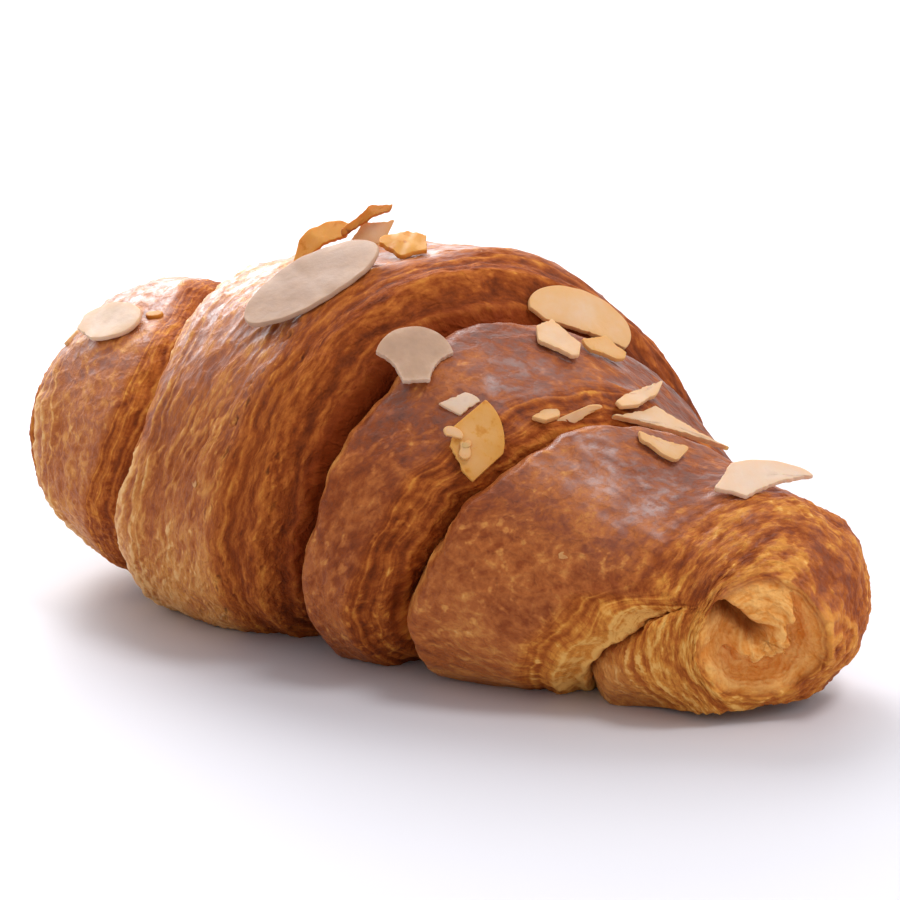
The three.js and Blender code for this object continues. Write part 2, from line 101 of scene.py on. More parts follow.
# A wall's largest share of its wrap, and where the wraps stand up in steps, by the sine of the angle
WALL_SHARE = 0.45
STEPPED = dict(start=-0.6, span=1.2)
LAYER_RELIEF = 0.45
PUFF_RELIEF = (0.45, 0.3)

OPEN_RIM = dict(
    x=67.7, tilt=6.6, turn=74, round=7.6, wide=0.45, high=0.6, drop=0.4, shift=8.6, tight=-2, lean=-50,
)
CLOSED_RIM = dict(x=-70.4, tilt=-2.6, turn=50, round=10, ratio=0.46)
OPEN_MOUTH = dict(middle=-40, reach=65, soft=0.35, least=0.8, blend=3)
CLOSED_CUP = dict(
    start=100, end=400, near=0.5, far=0.78, width=0.24, bowl=2.5, shallow=1.5, deep=3, rows=10,
    fade_in=0.25, fade_out=0.18, edge=0.12,
)
# Shares of the way in to an end's middle where its bowl is full and where its skin turns into cut dough
BOWL_EDGE = 0.6
CUT_EDGE = 0.2
# Open end face, in shares of its rim: a bowl, a slot under the lip and the tongue that hangs from the top
OPEN_CUP = dict(bowl=4, rows=30)
SLOT = dict(across=(-1.15, -0.66, -0.22), up=(0.34, 0.46, 0.2), above=0.06, below=0.2, deep=5)
TONGUE = dict(
    left=-0.66, soft=0.4, right=0.36, lean=0.08, tip=-0.3, crisp=0.08, ragged=0.05, rise=0.8, grow=0.5,
)

# Points of the mesh round the roll, the radius that the crust's patterns flow round, how far they flow in to
# an end's middle, and the distance that stands for no torn rim
AROUND = 288
FLOW_RADIUS = 25
CUP_FLOW = 9
RIM_AWAY = 40
# Length of the open end where its layers show, and how much painted shade darkens the back of the crust
# against the strong light that falls there
END_REACH = 15
BACK_SHADE = dict(amount=0.14, start=0.15, span=0.6, end_fade=30)

# Almond slices: thickness of the solid and of the slice that shows, and the sides and flat part of the solid
SLICE_THICK = 1.1
SLICE_SEEN = 0.8
SLICE_SIDES = 14
SHORTEST_SIDE = 0.15
FLAT_SHARE = 0.94
# Each slice: way it faces (heading, elevation), turn in its plane, long, wide, arch, egg shape, toast from
# pale to brown (below about 0.2 it is painted shade instead, darker, for slices that lie in shade), and
# breaks as direction, distance from the middle and hollow of the broken edge
SLICES = {
    "slice_whole": dict(face=(-1, 61), turn=66, long=23, wide=12.6, arch=0.5, toast=0.0),
    "slice_shield": dict(
        face=(42, 52), turn=0, long=11.5, wide=12, arch=0.2, toast=0.05,
        breaks=[(-148, 3.9, 0.7), (-35, 4, 0.9), (-90, 4.2, 0.2)],
    ),
    "slice_split": dict(
        face=(44, 28), turn=80, long=13.4, wide=10.4, arch=0.3, egg=0.1, toast=0.54,
        breaks=[(49, 2.8, 0), (88, 2.5, 0.2), (124, 2.9, 0.2), (142, 3.9, 0), (-129, 4.9, 0)],
    ),
    "slice_crest": dict(
        face=(73, 46), turn=148, long=16.8, wide=11, arch=0.4, toast=0.38,
        breaks=[(90, 2.5, 0.2), (62, 4.9, 0)],
    ),
    "slice_stub": dict(
        face=(60, 62), turn=110, long=9.6, wide=7, toast=0.33,
        breaks=[(112, 2.9, 0.1), (54, 3.1, 0), (0, 3.3, 0.1), (-88, 1.8, 0.2), (-137, 3.5, 0)],
    ),
    "slice_sliver": dict(
        face=(66, 52), turn=150, long=7.4, wide=5, arch=0.2, toast=0.45,
        breaks=[(88, 2.1, 0.1), (176, 3.2, 0), (-119, 1.4, 0.2), (-61, 1.7, 0.1)],
    ),
    "slice_strip": dict(
        face=(82, 60), turn=8, long=13.8, wide=5.2, toast=0.32,
        breaks=[(88, 0.8, 0.1), (101, 1.3, 0), (-105, 2.2, 0), (-83, 1.5, 0.1), (-64, 2.6, 0), (170, 5, 0)],
    ),
    "slice_long": dict(
        face=(78, 57), turn=146, long=22, wide=12, arch=0.3, toast=0.3,
        breaks=[(90, 0.1, 0.2), (-56, 5, 0.4), (-112, 3.4, 0.5), (-20, 9.4, 0)],
    ),
    "slice_chip": dict(
        face=(68, 46), turn=146, long=8, wide=6, toast=0.4,
        breaks=[(72, 2.2, 0.1), (86, 2.3, 0), (156, 3.5, 0), (-86, 0.4, 0.2), (20, 3.5, 0)],
    ),
    "slice_right": dict(
        face=(52, 62), turn=-4, long=16, wide=8.2, arch=0.3, toast=0.22,
        breaks=[(146, 5.3, 0.1), (-114, 4.4, 0.1), (-68, 2, 0.7)],
    ),
    "slice_left": dict(
        face=(-6, 56), turn=18, long=12, wide=8.2, arch=0.3, toast=0.22,
        breaks=[(180, 5.4, 0.2), (-125, 4, 0.1)],
    ),
    "slice_bit": dict(
        face=(38, 22), turn=8, long=8, wide=5.4, arch=0.4, toast=0.36,
        breaks=[(-98, 1.7, 0), (-28, 2, 0.2), (87, 2, 0.3), (137, 2.6, 0.1)],
    ),
    "toasted_curl": dict(
        face=(30, 44), turn=40, long=11, wide=4.4, arch=1.6, toast=0.6,
        breaks=[(-92, 1.5, 0.1), (-50, 3.6, 0.1), (130, 3.2, 0)],
    ),
    "toasted_twist": dict(
        face=(38, 30), turn=36, long=9.4, wide=3.4, arch=0.8, toast=0.8,
        breaks=[(93, 1, 0.1), (63, 1.8, 0.1), (-43, 3.6, 0.2), (-96, 0.8, 0.2)],
    ),
    "toasted_bit": dict(
        face=(50, 72), turn=10, long=8, wide=8, toast=0.6,
        breaks=[(104, 2.8, 0.2), (40, 3.4, 0.2), (-20, 3.2, 0.1), (-85, 3.6, 0.2), (-157, 3.3, 0.1)],
    ),
    "slice_back": dict(
        face=(172, 36), turn=24, long=20, wide=11, arch=0.4, egg=0.12, toast=0.15,
        breaks=[(12, 7.6, 0.3), (-40, 6.6, 0)],
    ),
    "slice_back_half": dict(
        face=(176, 22), turn=-35, long=13, wide=10, arch=0.3, toast=0.35,
        breaks=[(120, 3.4, 0.3), (170, 4.4, 0), (-130, 4.6, 0.2)],
    ),
    "slice_back_left": dict(
        face=(190, 40), turn=60, long=15, wide=9, arch=0.3, egg=0.1, toast=0.25,
        breaks=[(30, 5.5, 0.3), (-110, 4, 0)],
    ),
    "slice_back_chip": dict(
        face=(156, 30), turn=20, long=9, wide=6, toast=0.45,
        breaks=[(80, 2, 0.2), (-60, 2.6, 0.2), (160, 3.4, 0)],
    ),
}
# Crumbs of almond stuck to a slice: where along and across its face
CRUMBS = [
    dict(
        on="slice_split", along=-1.9, across=0.5, turn=30,
        long=2.8, wide=1.9, toast=0.46, breaks=[(60, 0.7, 0.1)],
    ),
    dict(
        on="slice_split", along=-1.0, across=0.2, turn=-50,
        long=1.6, wide=1.1, toast=0.5, breaks=[],
    ),
    dict(
        on="slice_split", along=0.4, across=2.3, turn=75,
        long=3, wide=1.8, toast=0.4, breaks=[(100, 0.6, 0.1)],
    ),
]
# How high the crumbs and the splinters lie on what carries them, and a distance well outside the roll
CRUMB_LIFT = 0.9 * SLICE_SEEN
SPLINTER_LIFT = 0.15
OUTSIDE = 80
# Splinters of almond on the crust: where along the roll and round it
SPLINTERS = [
    dict(x=22.7, round=43.1, turn=0, long=6.2, wide=3.8, toast=0.22,
         breaks=[(114, 1.3, 0.1), (-52, 1.6, 0.1), (-122, 1.5, 0)]),
    dict(x=32.2, round=57, turn=10, long=4.6, wide=3.2, toast=0.4,
         breaks=[(112, 0.9, 0.1), (-85, 1.4, 0), (-136, 1.7, 0)]),
    dict(x=35.2, round=66, turn=16, long=7.6, wide=2, toast=0.38, breaks=[(94, 0.7, 0), (-80, 0.8, 0.1)]),
    dict(x=-59, round=50.5, turn=-12, long=6, wide=2.8, toast=0.35,
         breaks=[(75, 1, 0), (110, 1.1, 0), (-100, 1, 0.2)]),
    dict(x=-42.8, round=62, turn=20, long=3.2, wide=1.8, toast=0.7, breaks=[(90, 0.6, 0)]),
    dict(x=10, round=144, turn=60, long=5.6, wide=3.2, toast=0.3, breaks=[(110, 1.1, 0.1), (-60, 1.3, 0.1)]),
    dict(x=-26, round=140, turn=15, long=6, wide=2.8, toast=0.4, breaks=[(80, 0.9, 0.2)]),
    dict(x=36, round=160, turn=50, long=5, wide=3, toast=0.3, breaks=[(-110, 1, 0.1), (20, 1.8, 0)]),
]


class Field:
    """A value over a surface: one socket of a node tree, with sums written as expressions."""

    def __init__(self, tree, socket=None):
        self.tree = tree
        self.socket = socket

    def node(self, kind, settings=None, inputs=None, output=0):
        """Any other node: its type, its settings, then the values or links of its sockets."""
        made = self.tree.nodes.new(kind)
        for name, value in (settings or {}).items():
            if name == "stops":
                ramp = made.color_ramp
                while len(ramp.elements) < len(value):
                    ramp.elements.new(0.5)
                for element, (place, colour) in zip(ramp.elements, value):
                    element.position = place
                    element.color = (*colour, 1)
            else:
                setattr(made, name, value)
        for name, value in (inputs or {}).items():
            if isinstance(value, Field):
                self.tree.links.new(value.socket, made.inputs[name])
            else:
                made.inputs[name].default_value = value
        return Field(self.tree, made.outputs[output])

    def math(self, operation, *others):
        terms = dict(enumerate((self, *others)))
        return self.node("ShaderNodeMath", {"operation": operation}, terms)

    def swapped(self, operation, other):
        return self.node("ShaderNodeMath", {"operation": operation}, {0: other, 1: self})

    def __add__(self, other):
        return self.math("ADD", other)

    def __sub__(self, other):
        return self.math("SUBTRACT", other)

    def __mul__(self, other):
        return self.math("MULTIPLY", other)

    def __truediv__(self, other):
        return self.math("DIVIDE", other)

    def __pow__(self, other):
        return self.math("POWER", other)

    def __rsub__(self, other):
        return self.swapped("SUBTRACT", other)

    __radd__ = __add__
    __rmul__ = __mul__

    def between(self, low, high):
        """0 below low, 1 above high, smooth between."""
        settings = {"interpolation_type": "SMOOTHSTEP"}
        return self.node("ShaderNodeMapRange", settings, {"Value": self, "From Min": low, "From Max": high})

    def vector(self, operation, other):
        return self.node("ShaderNodeVectorMath", {"operation": operation}, {0: self, 1: other})

    def scaled(self, times):
        return self.node("ShaderNodeVectorMath", {"operation": "SCALE"}, {0: self, "Scale": times})

    def parts(self):
        """The three values of a vector."""
        apart = self.node("ShaderNodeSeparateXYZ", None, {0: self}).socket.node
        return [Field(self.tree, socket) for socket in apart.outputs]

    def vector_of(self, x, y, z):
        return self.node("ShaderNodeCombineXYZ", None, {0: x, 1: y, 2: z})

    def pattern(self, name):
        """The flow at the fineness of one of the crust's patterns."""
        along, across = FINENESS[name]
        return self.vector("MULTIPLY", (along, across, across))

    def noise(self, detail, roughness):
        inputs = {"Vector": self, "Scale": 1, "Detail": detail, "Roughness": roughness}
        return self.node("ShaderNodeTexNoise", None, inputs)

    def wander(self, detail):
        """Noise as a vector, 0 in its middle."""
        inputs = {"Vector": self, "Scale": 1, "Detail": detail}
        return self.node("ShaderNodeTexNoise", None, inputs, 1).vector("SUBTRACT", (0.5, 0.5, 0.5))

    def cells(self, feature):
        return self.node("ShaderNodeTexVoronoi", {"feature": feature}, {"Vector": self, "Scale": 1})

    def named(self, name, vector=False):
        """The piece's own attribute, in a surface tree or in a shape tree."""
        if self.tree.type == "SHADER":
            return self.node("ShaderNodeAttribute", {"attribute_name": name}, None, 1 if vector else 2)
        kind = "FLOAT_VECTOR" if vector else "FLOAT"
        return self.node("GeometryNodeInputNamedAttribute", {"data_type": kind}, {"Name": name})

    def mixed(self, low, high):
        """The colour low where this is 0 and high where it is 1."""
        settings = {"data_type": "RGBA"}
        low, high = [c if isinstance(c, Field) else (*c, 1) for c in (low, high)]
        return self.node("ShaderNodeMix", settings, {0: self, 6: low, 7: high}, 2)

    def tinted(self, colour, tint):
        """The colour, times the tint where this is 1."""
        settings = {"data_type": "RGBA", "blend_type": "MULTIPLY"}
        return self.node("ShaderNodeMix", settings, {0: self, 6: colour, 7: (*tint, 1)}, 2)


def smooth(t):
    c = np.clip(t, 0, 1)
    return c * c * (3 - 2 * c)


def taper(t, side):
    return (1 - np.minimum(np.abs(t), TAPER_END) ** side["power"]) ** side["round"]


def quarter_fall(t):
    c = np.clip(t, 0, 1)
    return 1 - np.sqrt(1 - c * c)


def outline_radius(x):
    left = taper((x - CREST["x"]) / LEFT_TAPER["reach"], LEFT_TAPER)
    right = taper((x - CREST["x"]) / RIGHT_TAPER["reach"], RIGHT_TAPER)
    body = CREST["radius"] * np.where(x < CREST["x"], left, right)
    swell = END_SWELL["radius"] * taper((x - END_SWELL["x"]) / END_SWELL["reach"], END_SWELL)
    return (body**SWELL_BLEND + swell**SWELL_BLEND) ** (1 / SWELL_BLEND)


def axis_height(x):
    lift = smooth((x - TAIL_LIFT["start"]) / (TAIL_LIFT["end"] - TAIL_LIFT["start"]))
    return SIT_RATIO * outline_radius(x) + TAIL_LIFT["rise"] * lift


def base_height(x):
    """Height of the roll's flat underside, which leaves the floor near the open end."""
    return BASE_LIFT["rise"] * smooth((x - BASE_LIFT["start"]) / (BASE_LIFT["end"] - BASE_LIFT["start"]))


def ring_x(ring, angle):
    sway = ring.get("sway", 0) * np.cos(2 * (angle - math.radians(ring.get("lean", 0))))
    return ring["x"] + ring["tilt"] * np.sin(angle - math.radians(ring["turn"])) + sway


def ragged_edge(angle, crease):
    wave = np.sin(9 * angle + crease["x"]) + 0.7 * np.sin(17 * angle - 2 * crease["x"])
    return crease["ragged"] * (wave + 0.6 * np.sin(31 * angle + 3 * crease["x"])) / 2


def smooth_lesser(a, b, blend):
    h = np.clip(0.5 + 0.5 * (b - a) / blend, 0, 1)
    return b * (1 - h) + a * h - blend * h * (1 - h)


def edges_at(angle):
    """Where the rims and creases lie along X, round the roll."""
    open_rim = ring_x(OPEN_RIM, angle)
    creases = [ring_x(crease, angle) + ragged_edge(angle, crease) for crease in CREASES]
    edges = [ring_x(CLOSED_RIM, angle), *creases, open_rim]
    near = np.cos(angle - math.radians(OPEN_MOUTH["middle"])) - math.cos(math.radians(OPEN_MOUTH["reach"]))
    shows = smooth(near / OPEN_MOUTH["soft"])
    edge = smooth_lesser(edges[5], open_rim - OPEN_MOUTH["least"], OPEN_MOUTH["blend"])
    edges[5] = open_rim - np.maximum(OPEN_MOUTH["least"], (open_rim - edge) * shows)
    return edges, shows


def puff(x, angle):
    broad = np.sin(5 * angle + 0.11 * x) * np.sin(0.17 * x - 2 * angle + 1)
    small = np.sin(8 * angle - 0.23 * x + 2) * np.sin(0.13 * x + 3 * angle)
    return PUFF_RELIEF[0] * broad + PUFF_RELIEF[1] * small


def wall(t, overhangs):
    """A wall's place across and its fall, from the crease (t = 0) to the crown (t = 1)."""
    a = t * math.pi / 2
    return (1 - math.cos(a) if overhangs else t), 1 - math.sin(a)


MARKS = ("along", "slope", "crease", "rim", "bake", "ridged", "lip", "pores", "end", "cut", "hollow")


def roll_rings(angle):
    """Rings of points from the closed rim to the open rim, each with its marks for the crust."""
    edges, shows = edges_at(angle)
    widths = [b - a for a, b in zip(edges, edges[1:])]
    upper = smooth((np.sin(angle) - STEPPED["start"]) / STEPPED["span"])
    full = [smooth(width / CREASE_FADE) for width in widths]
    fades = [a * b for a, b in zip(full, full[1:])]
    fades[-1] = fades[-1] * shows
    level = np.zeros_like(angle)
    skews = [edge - edge.mean() for edge in edges]
    # Patterns on the last wrap follow the open rim along its whole length
    skews[-2] = skews[-1]
    # Painted shade on the back of the roll, against the strong light that falls there
    back_shade = BACK_SHADE["amount"] * smooth((-np.cos(angle) - BACK_SHADE["start"]) / BACK_SHADE["span"])
    open_round = OPEN_RIM["round"] + OPEN_RIM["tight"] * np.cos(angle - math.radians(OPEN_RIM["lean"]))
    rings = []
    for k, wrap in enumerate(WRAPS):
        before = CREASES[k - 1] if k else None
        after = CREASES[k] if k < len(CREASES) else None
        width = widths[k]
        rise = np.minimum(before["rise"], WALL_SHARE * width) if before else level
        slope = np.minimum(after["slope"] if after else open_round, WALL_SHARE * width)
        step = wrap["step"] * upper
        if not after:
            step = step * shows + WRAPS[k - 1]["step"] * upper * (1 - shows)

        def put(x, shift, fall, fade, depth, layer, **marks):
            sunk = (depth + step) * fade * fall
            r = outline_radius(x) + step - sunk + puff(x, angle) * (1 - 0.5 * fall * fade) + layer
            open_fall = quarter_fall(1 - (edges[6] - x) / open_round)
            r = r * (1 - (1 - CLOSED_RIM["ratio"]) * quarter_fall(1 - (x - edges[0]) / CLOSED_RIM["round"]))
            xx = x + shift
            wide = r * (1 - (1 - OPEN_RIM["wide"]) * open_fall)
            high = r * (1 - (1 - OPEN_RIM["high"]) * open_fall)
            y = -np.cos(angle) * wide * WIDTH_RATIO - OPEN_RIM["shift"] * open_fall
            z = axis_height(xx) + np.sin(angle) * high - OPEN_RIM["drop"] * open_fall
            share = (x - edges[k]) / width
            skew = skews[k] * (1 - share) + skews[k + 1] * share - (r - wide)
            ring = {mark: level for mark in MARKS}
            ring.update(points=np.stack([xx, y, z], -1), along=x - skew)
            ring["reach"] = np.minimum(1, (wide + high) / 2 / FLOW_RADIUS)
            ring["rim"] = x - edges[k] if before and before["lip"] < 0 else level + RIM_AWAY
            ring.update({mark: value + level for mark, value in marks.items()})
            crown = wrap["crown"] if after else wrap["crown"] * shows + WRAPS[k - 1]["crown"] * (1 - shows)
            # Painted shade on the back, fading out towards the open end
            back_shade_here = back_shade * smooth((edges[6] - x) / BACK_SHADE["end_fade"])
            ring["bake"] = crown + (wrap["side"] - crown) * ring["slope"] + back_shade_here
            ring["ridged"] = level + wrap["ridged"]
            ring["pores"] = level + wrap["pores"]
            ring["end"] = np.maximum(0, (x - edges[6]) / END_REACH + 1)
            rings.append(ring)

        on_rise, on_crown, on_slope = wrap["columns"]
        for i in range(on_rise):
            overhangs = before["lip"] < 0
            across, fall = wall(i / on_rise, overhangs)
            fade = fades[k - 1]
            shift = -before["overhang"] * 4 * fall * (1 - fall) * fade if overhangs else level
            # Painted shade for the groove, strongest at the bottom of the crease
            groove_shade = fall * fade * before["groove_shade"]
            put(edges[k] + rise * across, shift, fall, fade, before["depth"], 0, crease=groove_shade)
        for i in range(on_crown):
            put(edges[k] + rise + (width - rise - slope) * i / on_crown, level, 0, 0, 0, 0)
        for i in range(on_slope + (0 if after else 1)):
            t = i / on_slope
            across, fall = wall(1 - t, not after or after["lip"] > 0)
            x = edges[k + 1] - slope * across
            if not after:
                put(x, level, 0, 0, 0, 0)
                continue
            fade = fades[k]
            overhangs = after["lip"] > 0
            shift = after["overhang"] * 4 * fall * (1 - fall) * fade if overhangs else level
            layer = LAYER_RELIEF * math.sin(TURN * wrap["layers"] * t) * math.sin(math.pi * t) * fade
            down = fade * math.sin(math.pi * t / 2)
            lip = wrap["lip"] * fade * 4 * fall * (1 - fall)
            # Painted shade for the groove at the foot of the slope
            groove_shade = fall * fade * after["groove_shade"]
            put(x, shift, fall, fade, after["depth"], layer, crease=groove_shade, slope=down, lip=lip)
    return rings


def spiral_hollow(cup, inward, degrees):
    """Depth of a spiral hollow round the middle of an end face."""
    span = cup["end"] - cup["start"]
    along = ((degrees - cup["start"]) % 360) / span
    shows = smooth(along / cup["fade_in"]) * smooth((360 / span - along) / cup["fade_out"])
    way = np.minimum(1, along)
    depth = (cup["shallow"] + (cup["deep"] - cup["shallow"]) * way) * shows
    place = cup["near"] + (cup["far"] - cup["near"]) * way * way
    return depth * np.exp(-(((1 - inward - place) / cup["width"]) ** 2)) * smooth(inward / cup["edge"])


def tongue_and_slot(inward, degrees):
    """Share of the tongue and of the slot at one ring of the open end face."""
    across = -np.cos(np.radians(degrees)) * (1 - inward)
    up = np.sin(np.radians(degrees)) * (1 - inward)
    over = up - np.interp(across, SLOT["across"], SLOT["up"])
    past = np.maximum(0, across - SLOT["across"][-1])
    wide = np.where(over > 0, SLOT["above"], SLOT["below"])
    slot = np.exp(-((over / wide) ** 2 + (past / SLOT["below"]) ** 2))
    torn = TONGUE["ragged"] * (np.sin(13 * up + 1) + 0.6 * np.sin(29 * up))
    right = smooth((TONGUE["right"] - TONGUE["lean"] * up + torn - across) / TONGUE["crisp"])
    left = np.maximum(smooth((across - TONGUE["left"]) / TONGUE["soft"]), smooth(over / TONGUE["crisp"]))
    torn = TONGUE["ragged"] * (np.sin(11 * across) + 0.6 * np.sin(27 * across + 2))
    tongue = left * right * smooth((up - TONGUE["tip"] - torn) / TONGUE["crisp"])
    return tongue, slot


def cup_rings(rim, cup, outward, degrees):
    """Rings from a rim in to the middle of an end face, with its hollows."""
    points = rim["points"]
    middle = points.mean(0)
    quarter = len(points) // 4
    normal = np.cross(points[quarter] - points[3 * quarter], points[0] - points[2 * quarter])
    normal /= np.linalg.norm(normal) * np.sign(normal[0] * outward)
    rings = []
    for i in range(1, cup["rows"] + 1):
        inward = i / cup["rows"]
        height = -cup["bowl"] * smooth(inward / BOWL_EDGE)
        cut = smooth(inward / CUT_EDGE)
        if outward > 0:
            tongue, slot = tongue_and_slot(inward, degrees)
            height = height * (1 - tongue) + TONGUE["rise"] * tongue * smooth(inward / TONGUE["grow"])
            hollow = slot * cut
            height = height - SLOT["deep"] * hollow
        else:
            hollow = spiral_hollow(cup, inward, degrees)
            height = height - hollow
            hollow = hollow / cup["deep"]
        if i == cup["rows"]:
            height = height * 0 + height.mean()
        ring = dict(rim, cut=cut + 0 * degrees, hollow=hollow, reach=rim["reach"] * (1 - inward))
        ring["points"] = points + (middle - points) * inward + normal * height[:, None]
        ring["along"] = rim["along"] + outward * inward * CUP_FLOW
        ring["end"] = rim["end"] + max(0, outward) * inward
        rings.append(ring)
    return rings


def roll_mesh():
    """The roll's skin as a fine closed mesh with its marks as attributes."""
    angle = np.arange(AROUND) * TURN / AROUND
    sides = roll_rings(angle)
    degrees = np.degrees(angle)
    rings = [*reversed(cup_rings(sides[0], CLOSED_CUP, -1, degrees)), *sides]
    rings += cup_rings(sides[-1], OPEN_CUP, 1, degrees)
    first, last = rings[0], rings[-1]
    inner = rings[1:-1]
    points = np.concatenate([first["points"][:1], *[r["points"] for r in inner], last["points"][:1]])
    points[:, 2] = np.maximum(points[:, 2], base_height(points[:, 0]))
    points -= (MIDDLE[0], MIDDLE[1], 0)
    faces = []
    step = np.arange(AROUND)
    after = (step + 1) % AROUND
    for i in range(len(inner) - 1):
        a = 1 + i * AROUND
        b = a + AROUND
        faces.append(np.stack([a + step, b + step, b + after, a + after], -1))
    quads = np.concatenate(faces)
    end = 1 + len(inner) * AROUND
    tail = end - AROUND
    fans = [(0, 1 + i, 1 + j) for i, j in zip(step, after)]
    fans += [(tail + i, end, tail + j) for i, j in zip(step, after)]
    mesh = bpy.data.meshes.new("crust")
    mesh.from_pydata((points * MM).tolist(), [], quads.tolist() + fans)
    mesh.polygons.foreach_set("use_smooth", np.ones(len(mesh.polygons), bool))

    def spread(values):
        return np.concatenate([values[0][:1], *values[1:-1], values[-1][:1]])

    for mark in MARKS[1:]:
        put_mark(mesh, mark, spread([ring[mark] for ring in rings]))
    flows = []
    for ring in rings:
        radius = FLOW_RADIUS * ring["reach"]
        flows.append(np.stack([ring["along"], radius * np.cos(angle), radius * np.sin(angle)], -1))
    put_mark(mesh, "flow", spread(flows))
    put_mark(mesh, "top", spread([np.sin(angle)] * len(rings)))
    return outward_mesh(mesh)


def put_mark(mesh, name, values):
    vector = values.ndim == 2
    kind = "FLOAT_VECTOR" if vector else "FLOAT"
    mark = mesh.attributes.new(name, kind, "POINT")
    mark.data.foreach_set("vector" if vector else "value", values.astype(np.float32).ravel())


def outward_mesh(mesh):
    """Turns the faces round if the closed mesh is inside out."""
    volume = 0.0
    for face in mesh.polygons:
        corners = [mesh.vertices[i].co for i in face.vertices]
        for b, c in zip(corners[1:], corners[2:]):
            volume += corners[0].dot(b.cross(c))
    if volume < 0:
        mesh.flip_normals()
    return mesh


def shown(name, mesh, material=None):
    piece = bpy.data.objects.new(name, mesh)
    bpy.context.collection.objects.link(piece)
    if material:
        mesh.materials.append(material)
    return piece


def shape_tree(name, sizes):
    """A tree for a mesh's shape, with the geometry, the material and named sizes as its inputs."""
    tree = bpy.data.node_groups.new(name, "GeometryNodeTree")
    tree.interface.new_socket(name="Geometry", in_out="OUTPUT", socket_type="NodeSocketGeometry")
    tree.interface.new_socket(name="Geometry", in_out="INPUT", socket_type="NodeSocketGeometry")
    tree.interface.new_socket(name="Material", in_out="INPUT", socket_type="NodeSocketMaterial")
    for size, value in sizes.items():
        kind = "NodeSocketInt" if isinstance(value, int) else "NodeSocketFloat"
        tree.interface.new_socket(name=size, in_out="INPUT", socket_type=kind)
    made = tree.nodes.new("NodeGroupInput")
    inputs = {socket.name: Field(tree, socket) for socket in made.outputs if socket.name}
    return tree, inputs


def close_tree(tree, geometry, material):
    """Ends a tree: everything realized and given its material."""
    whole = geometry.node("GeometryNodeRealizeInstances", None, {"Geometry": geometry})
    dressed = whole.node("GeometryNodeSetMaterial", None, {"Geometry": whole, "Material": material})
    end = tree.nodes.new("NodeGroupOutput")
    tree.links.new(dressed.socket, end.inputs[0])


def shaped(piece, tree, material, sizes):
    """The piece with the tree's result as its plain mesh."""
    modifier = piece.modifiers.new("shape", "NODES")
    modifier.node_group = tree
    values = dict(sizes, Material=material)
    for item in tree.interface.items_tree:
        if item.in_out == "INPUT" and item.name in values:
            modifier[item.identifier] = values[item.name]
    bpy.context.view_layer.update()
    depsgraph = bpy.context.evaluated_depsgraph_get()
    mesh = bpy.data.meshes.new_from_object(piece.evaluated_get(depsgraph))
    piece.modifiers.clear()
    piece.data = mesh
    return piece


# Fineness of the crust's patterns: waves for each millimetre along the roll and round it
FINENESS = dict(
    ridge=(0.24, 0.14), faint_ridge=(0.14, 0.12), streak=(0.36, 0.14), fine_ridge=(0.55, 0.4),
    patch=(0.1, 0.09), dent=(0.28, 0.2), mottle=(0.75, 0.6), grain=(3.0, 2.2), flank=(0.12, 0.12),
    fleck=(0.8, 0.6), fleck_drift=(0.16, 0.11), flake_drift=(0.12, 0.1),
    strand_sway=(0.12, 0.1), strand_shows=(0.05, 0.06), layer_sway=(0.06, 0.07), layer_breaks=(0.6, 0.3),
    pit=(0.56, 0.33), pit_drift=(0.13, 0.09), inner_pits=(0.2, 0.12),
)
RIDGE_LEAN = -0.35
# Layers on a whole slope and on the way in to the open end's middle, and how far their lines sway
LAYERS = dict(slope=10.0, way_in=9.0, sway=5.0)
# Strands along a torn rim: distance from the rim and half width of each, and how far they sway
STRANDS = ((0.9, 0.6), (2.4, 0.5), (4.3, 0.6), (6.2, 0.4))
STRAND_SWAY = 7.0


# Patterns of the crust, shared by its shape and its colours
def wandering(flow, fine, reach):
    """The flow with its lines moved about, this fine and this far."""
    return flow.vector("ADD", flow.scaled(fine).wander(2).scaled(reach))


def leaning(flow):
    """The flow with its lines leaning towards the open end."""
    _, _, height = flow.parts()
    return flow.vector("ADD", flow.vector_of(height * RIDGE_LEAN, 0.0, 0.0))


def skin_net(flow):
    """Patches of browned skin between raised ridges: 0 on a ridge and 1 inside a patch."""
    bent = wandering(wandering(leaning(flow), 0.08, 7.0), 0.3, 3.2)
    line = bent.pattern("ridge").cells("DISTANCE_TO_EDGE").between(0.0, 0.15)
    faint = flow.pattern("faint_ridge").noise(2, 0.5).between(0.4, 0.6)
    streak = bent.pattern("streak").noise(3, 0.5).between(0.5, 0.64)
    return 1 - ((1 - line) * faint * 0.8).math("MAXIMUM", streak * 0.7)


def fine_net(flow):
    bent = wandering(flow, 0.7, 1.8)
    return bent.pattern("fine_ridge").cells("DISTANCE_TO_EDGE").between(0.0, 0.2)


def patches(flow):
    return flow.pattern("patch").noise(2, 0.5)


def dents(flow):
    return flow.pattern("dent").noise(3, 0.5)


def mottle(flow):
    """Small uneven browning."""
    return flow.pattern("mottle").noise(4, 0.62)


def grain(flow):
    return flow.pattern("grain").noise(3, 0.6)


def flecks(flow, low):
    """Small pale spots where the top skin has come off, in drifts."""
    spots = flow.pattern("fleck").noise(2, 0.5).between(0.56, 0.7)
    drift = flow.pattern("fleck_drift").noise(2, 0.5) + low * 0.1
    return spots * drift.between(0.44, 0.6)


def strands(flow, rim):
    """Thin sheets of dough edge on along a torn rim."""
    place = rim + (flow.pattern("strand_sway").noise(3, 0.5) - 0.5) * STRAND_SWAY
    shows = flow.pattern("strand_shows").noise(2, 0.5).between(0.35, 0.5)
    lines = None
    for middle, half in STRANDS:
        away = (place - middle) / half
        line = 1 - away.math("ABSOLUTE").between(0.0, 1.0)
        lines = line if lines is None else lines.math("MAXIMUM", line)
    return lines * shows * (1 - rim.between(7.0, 9.0))


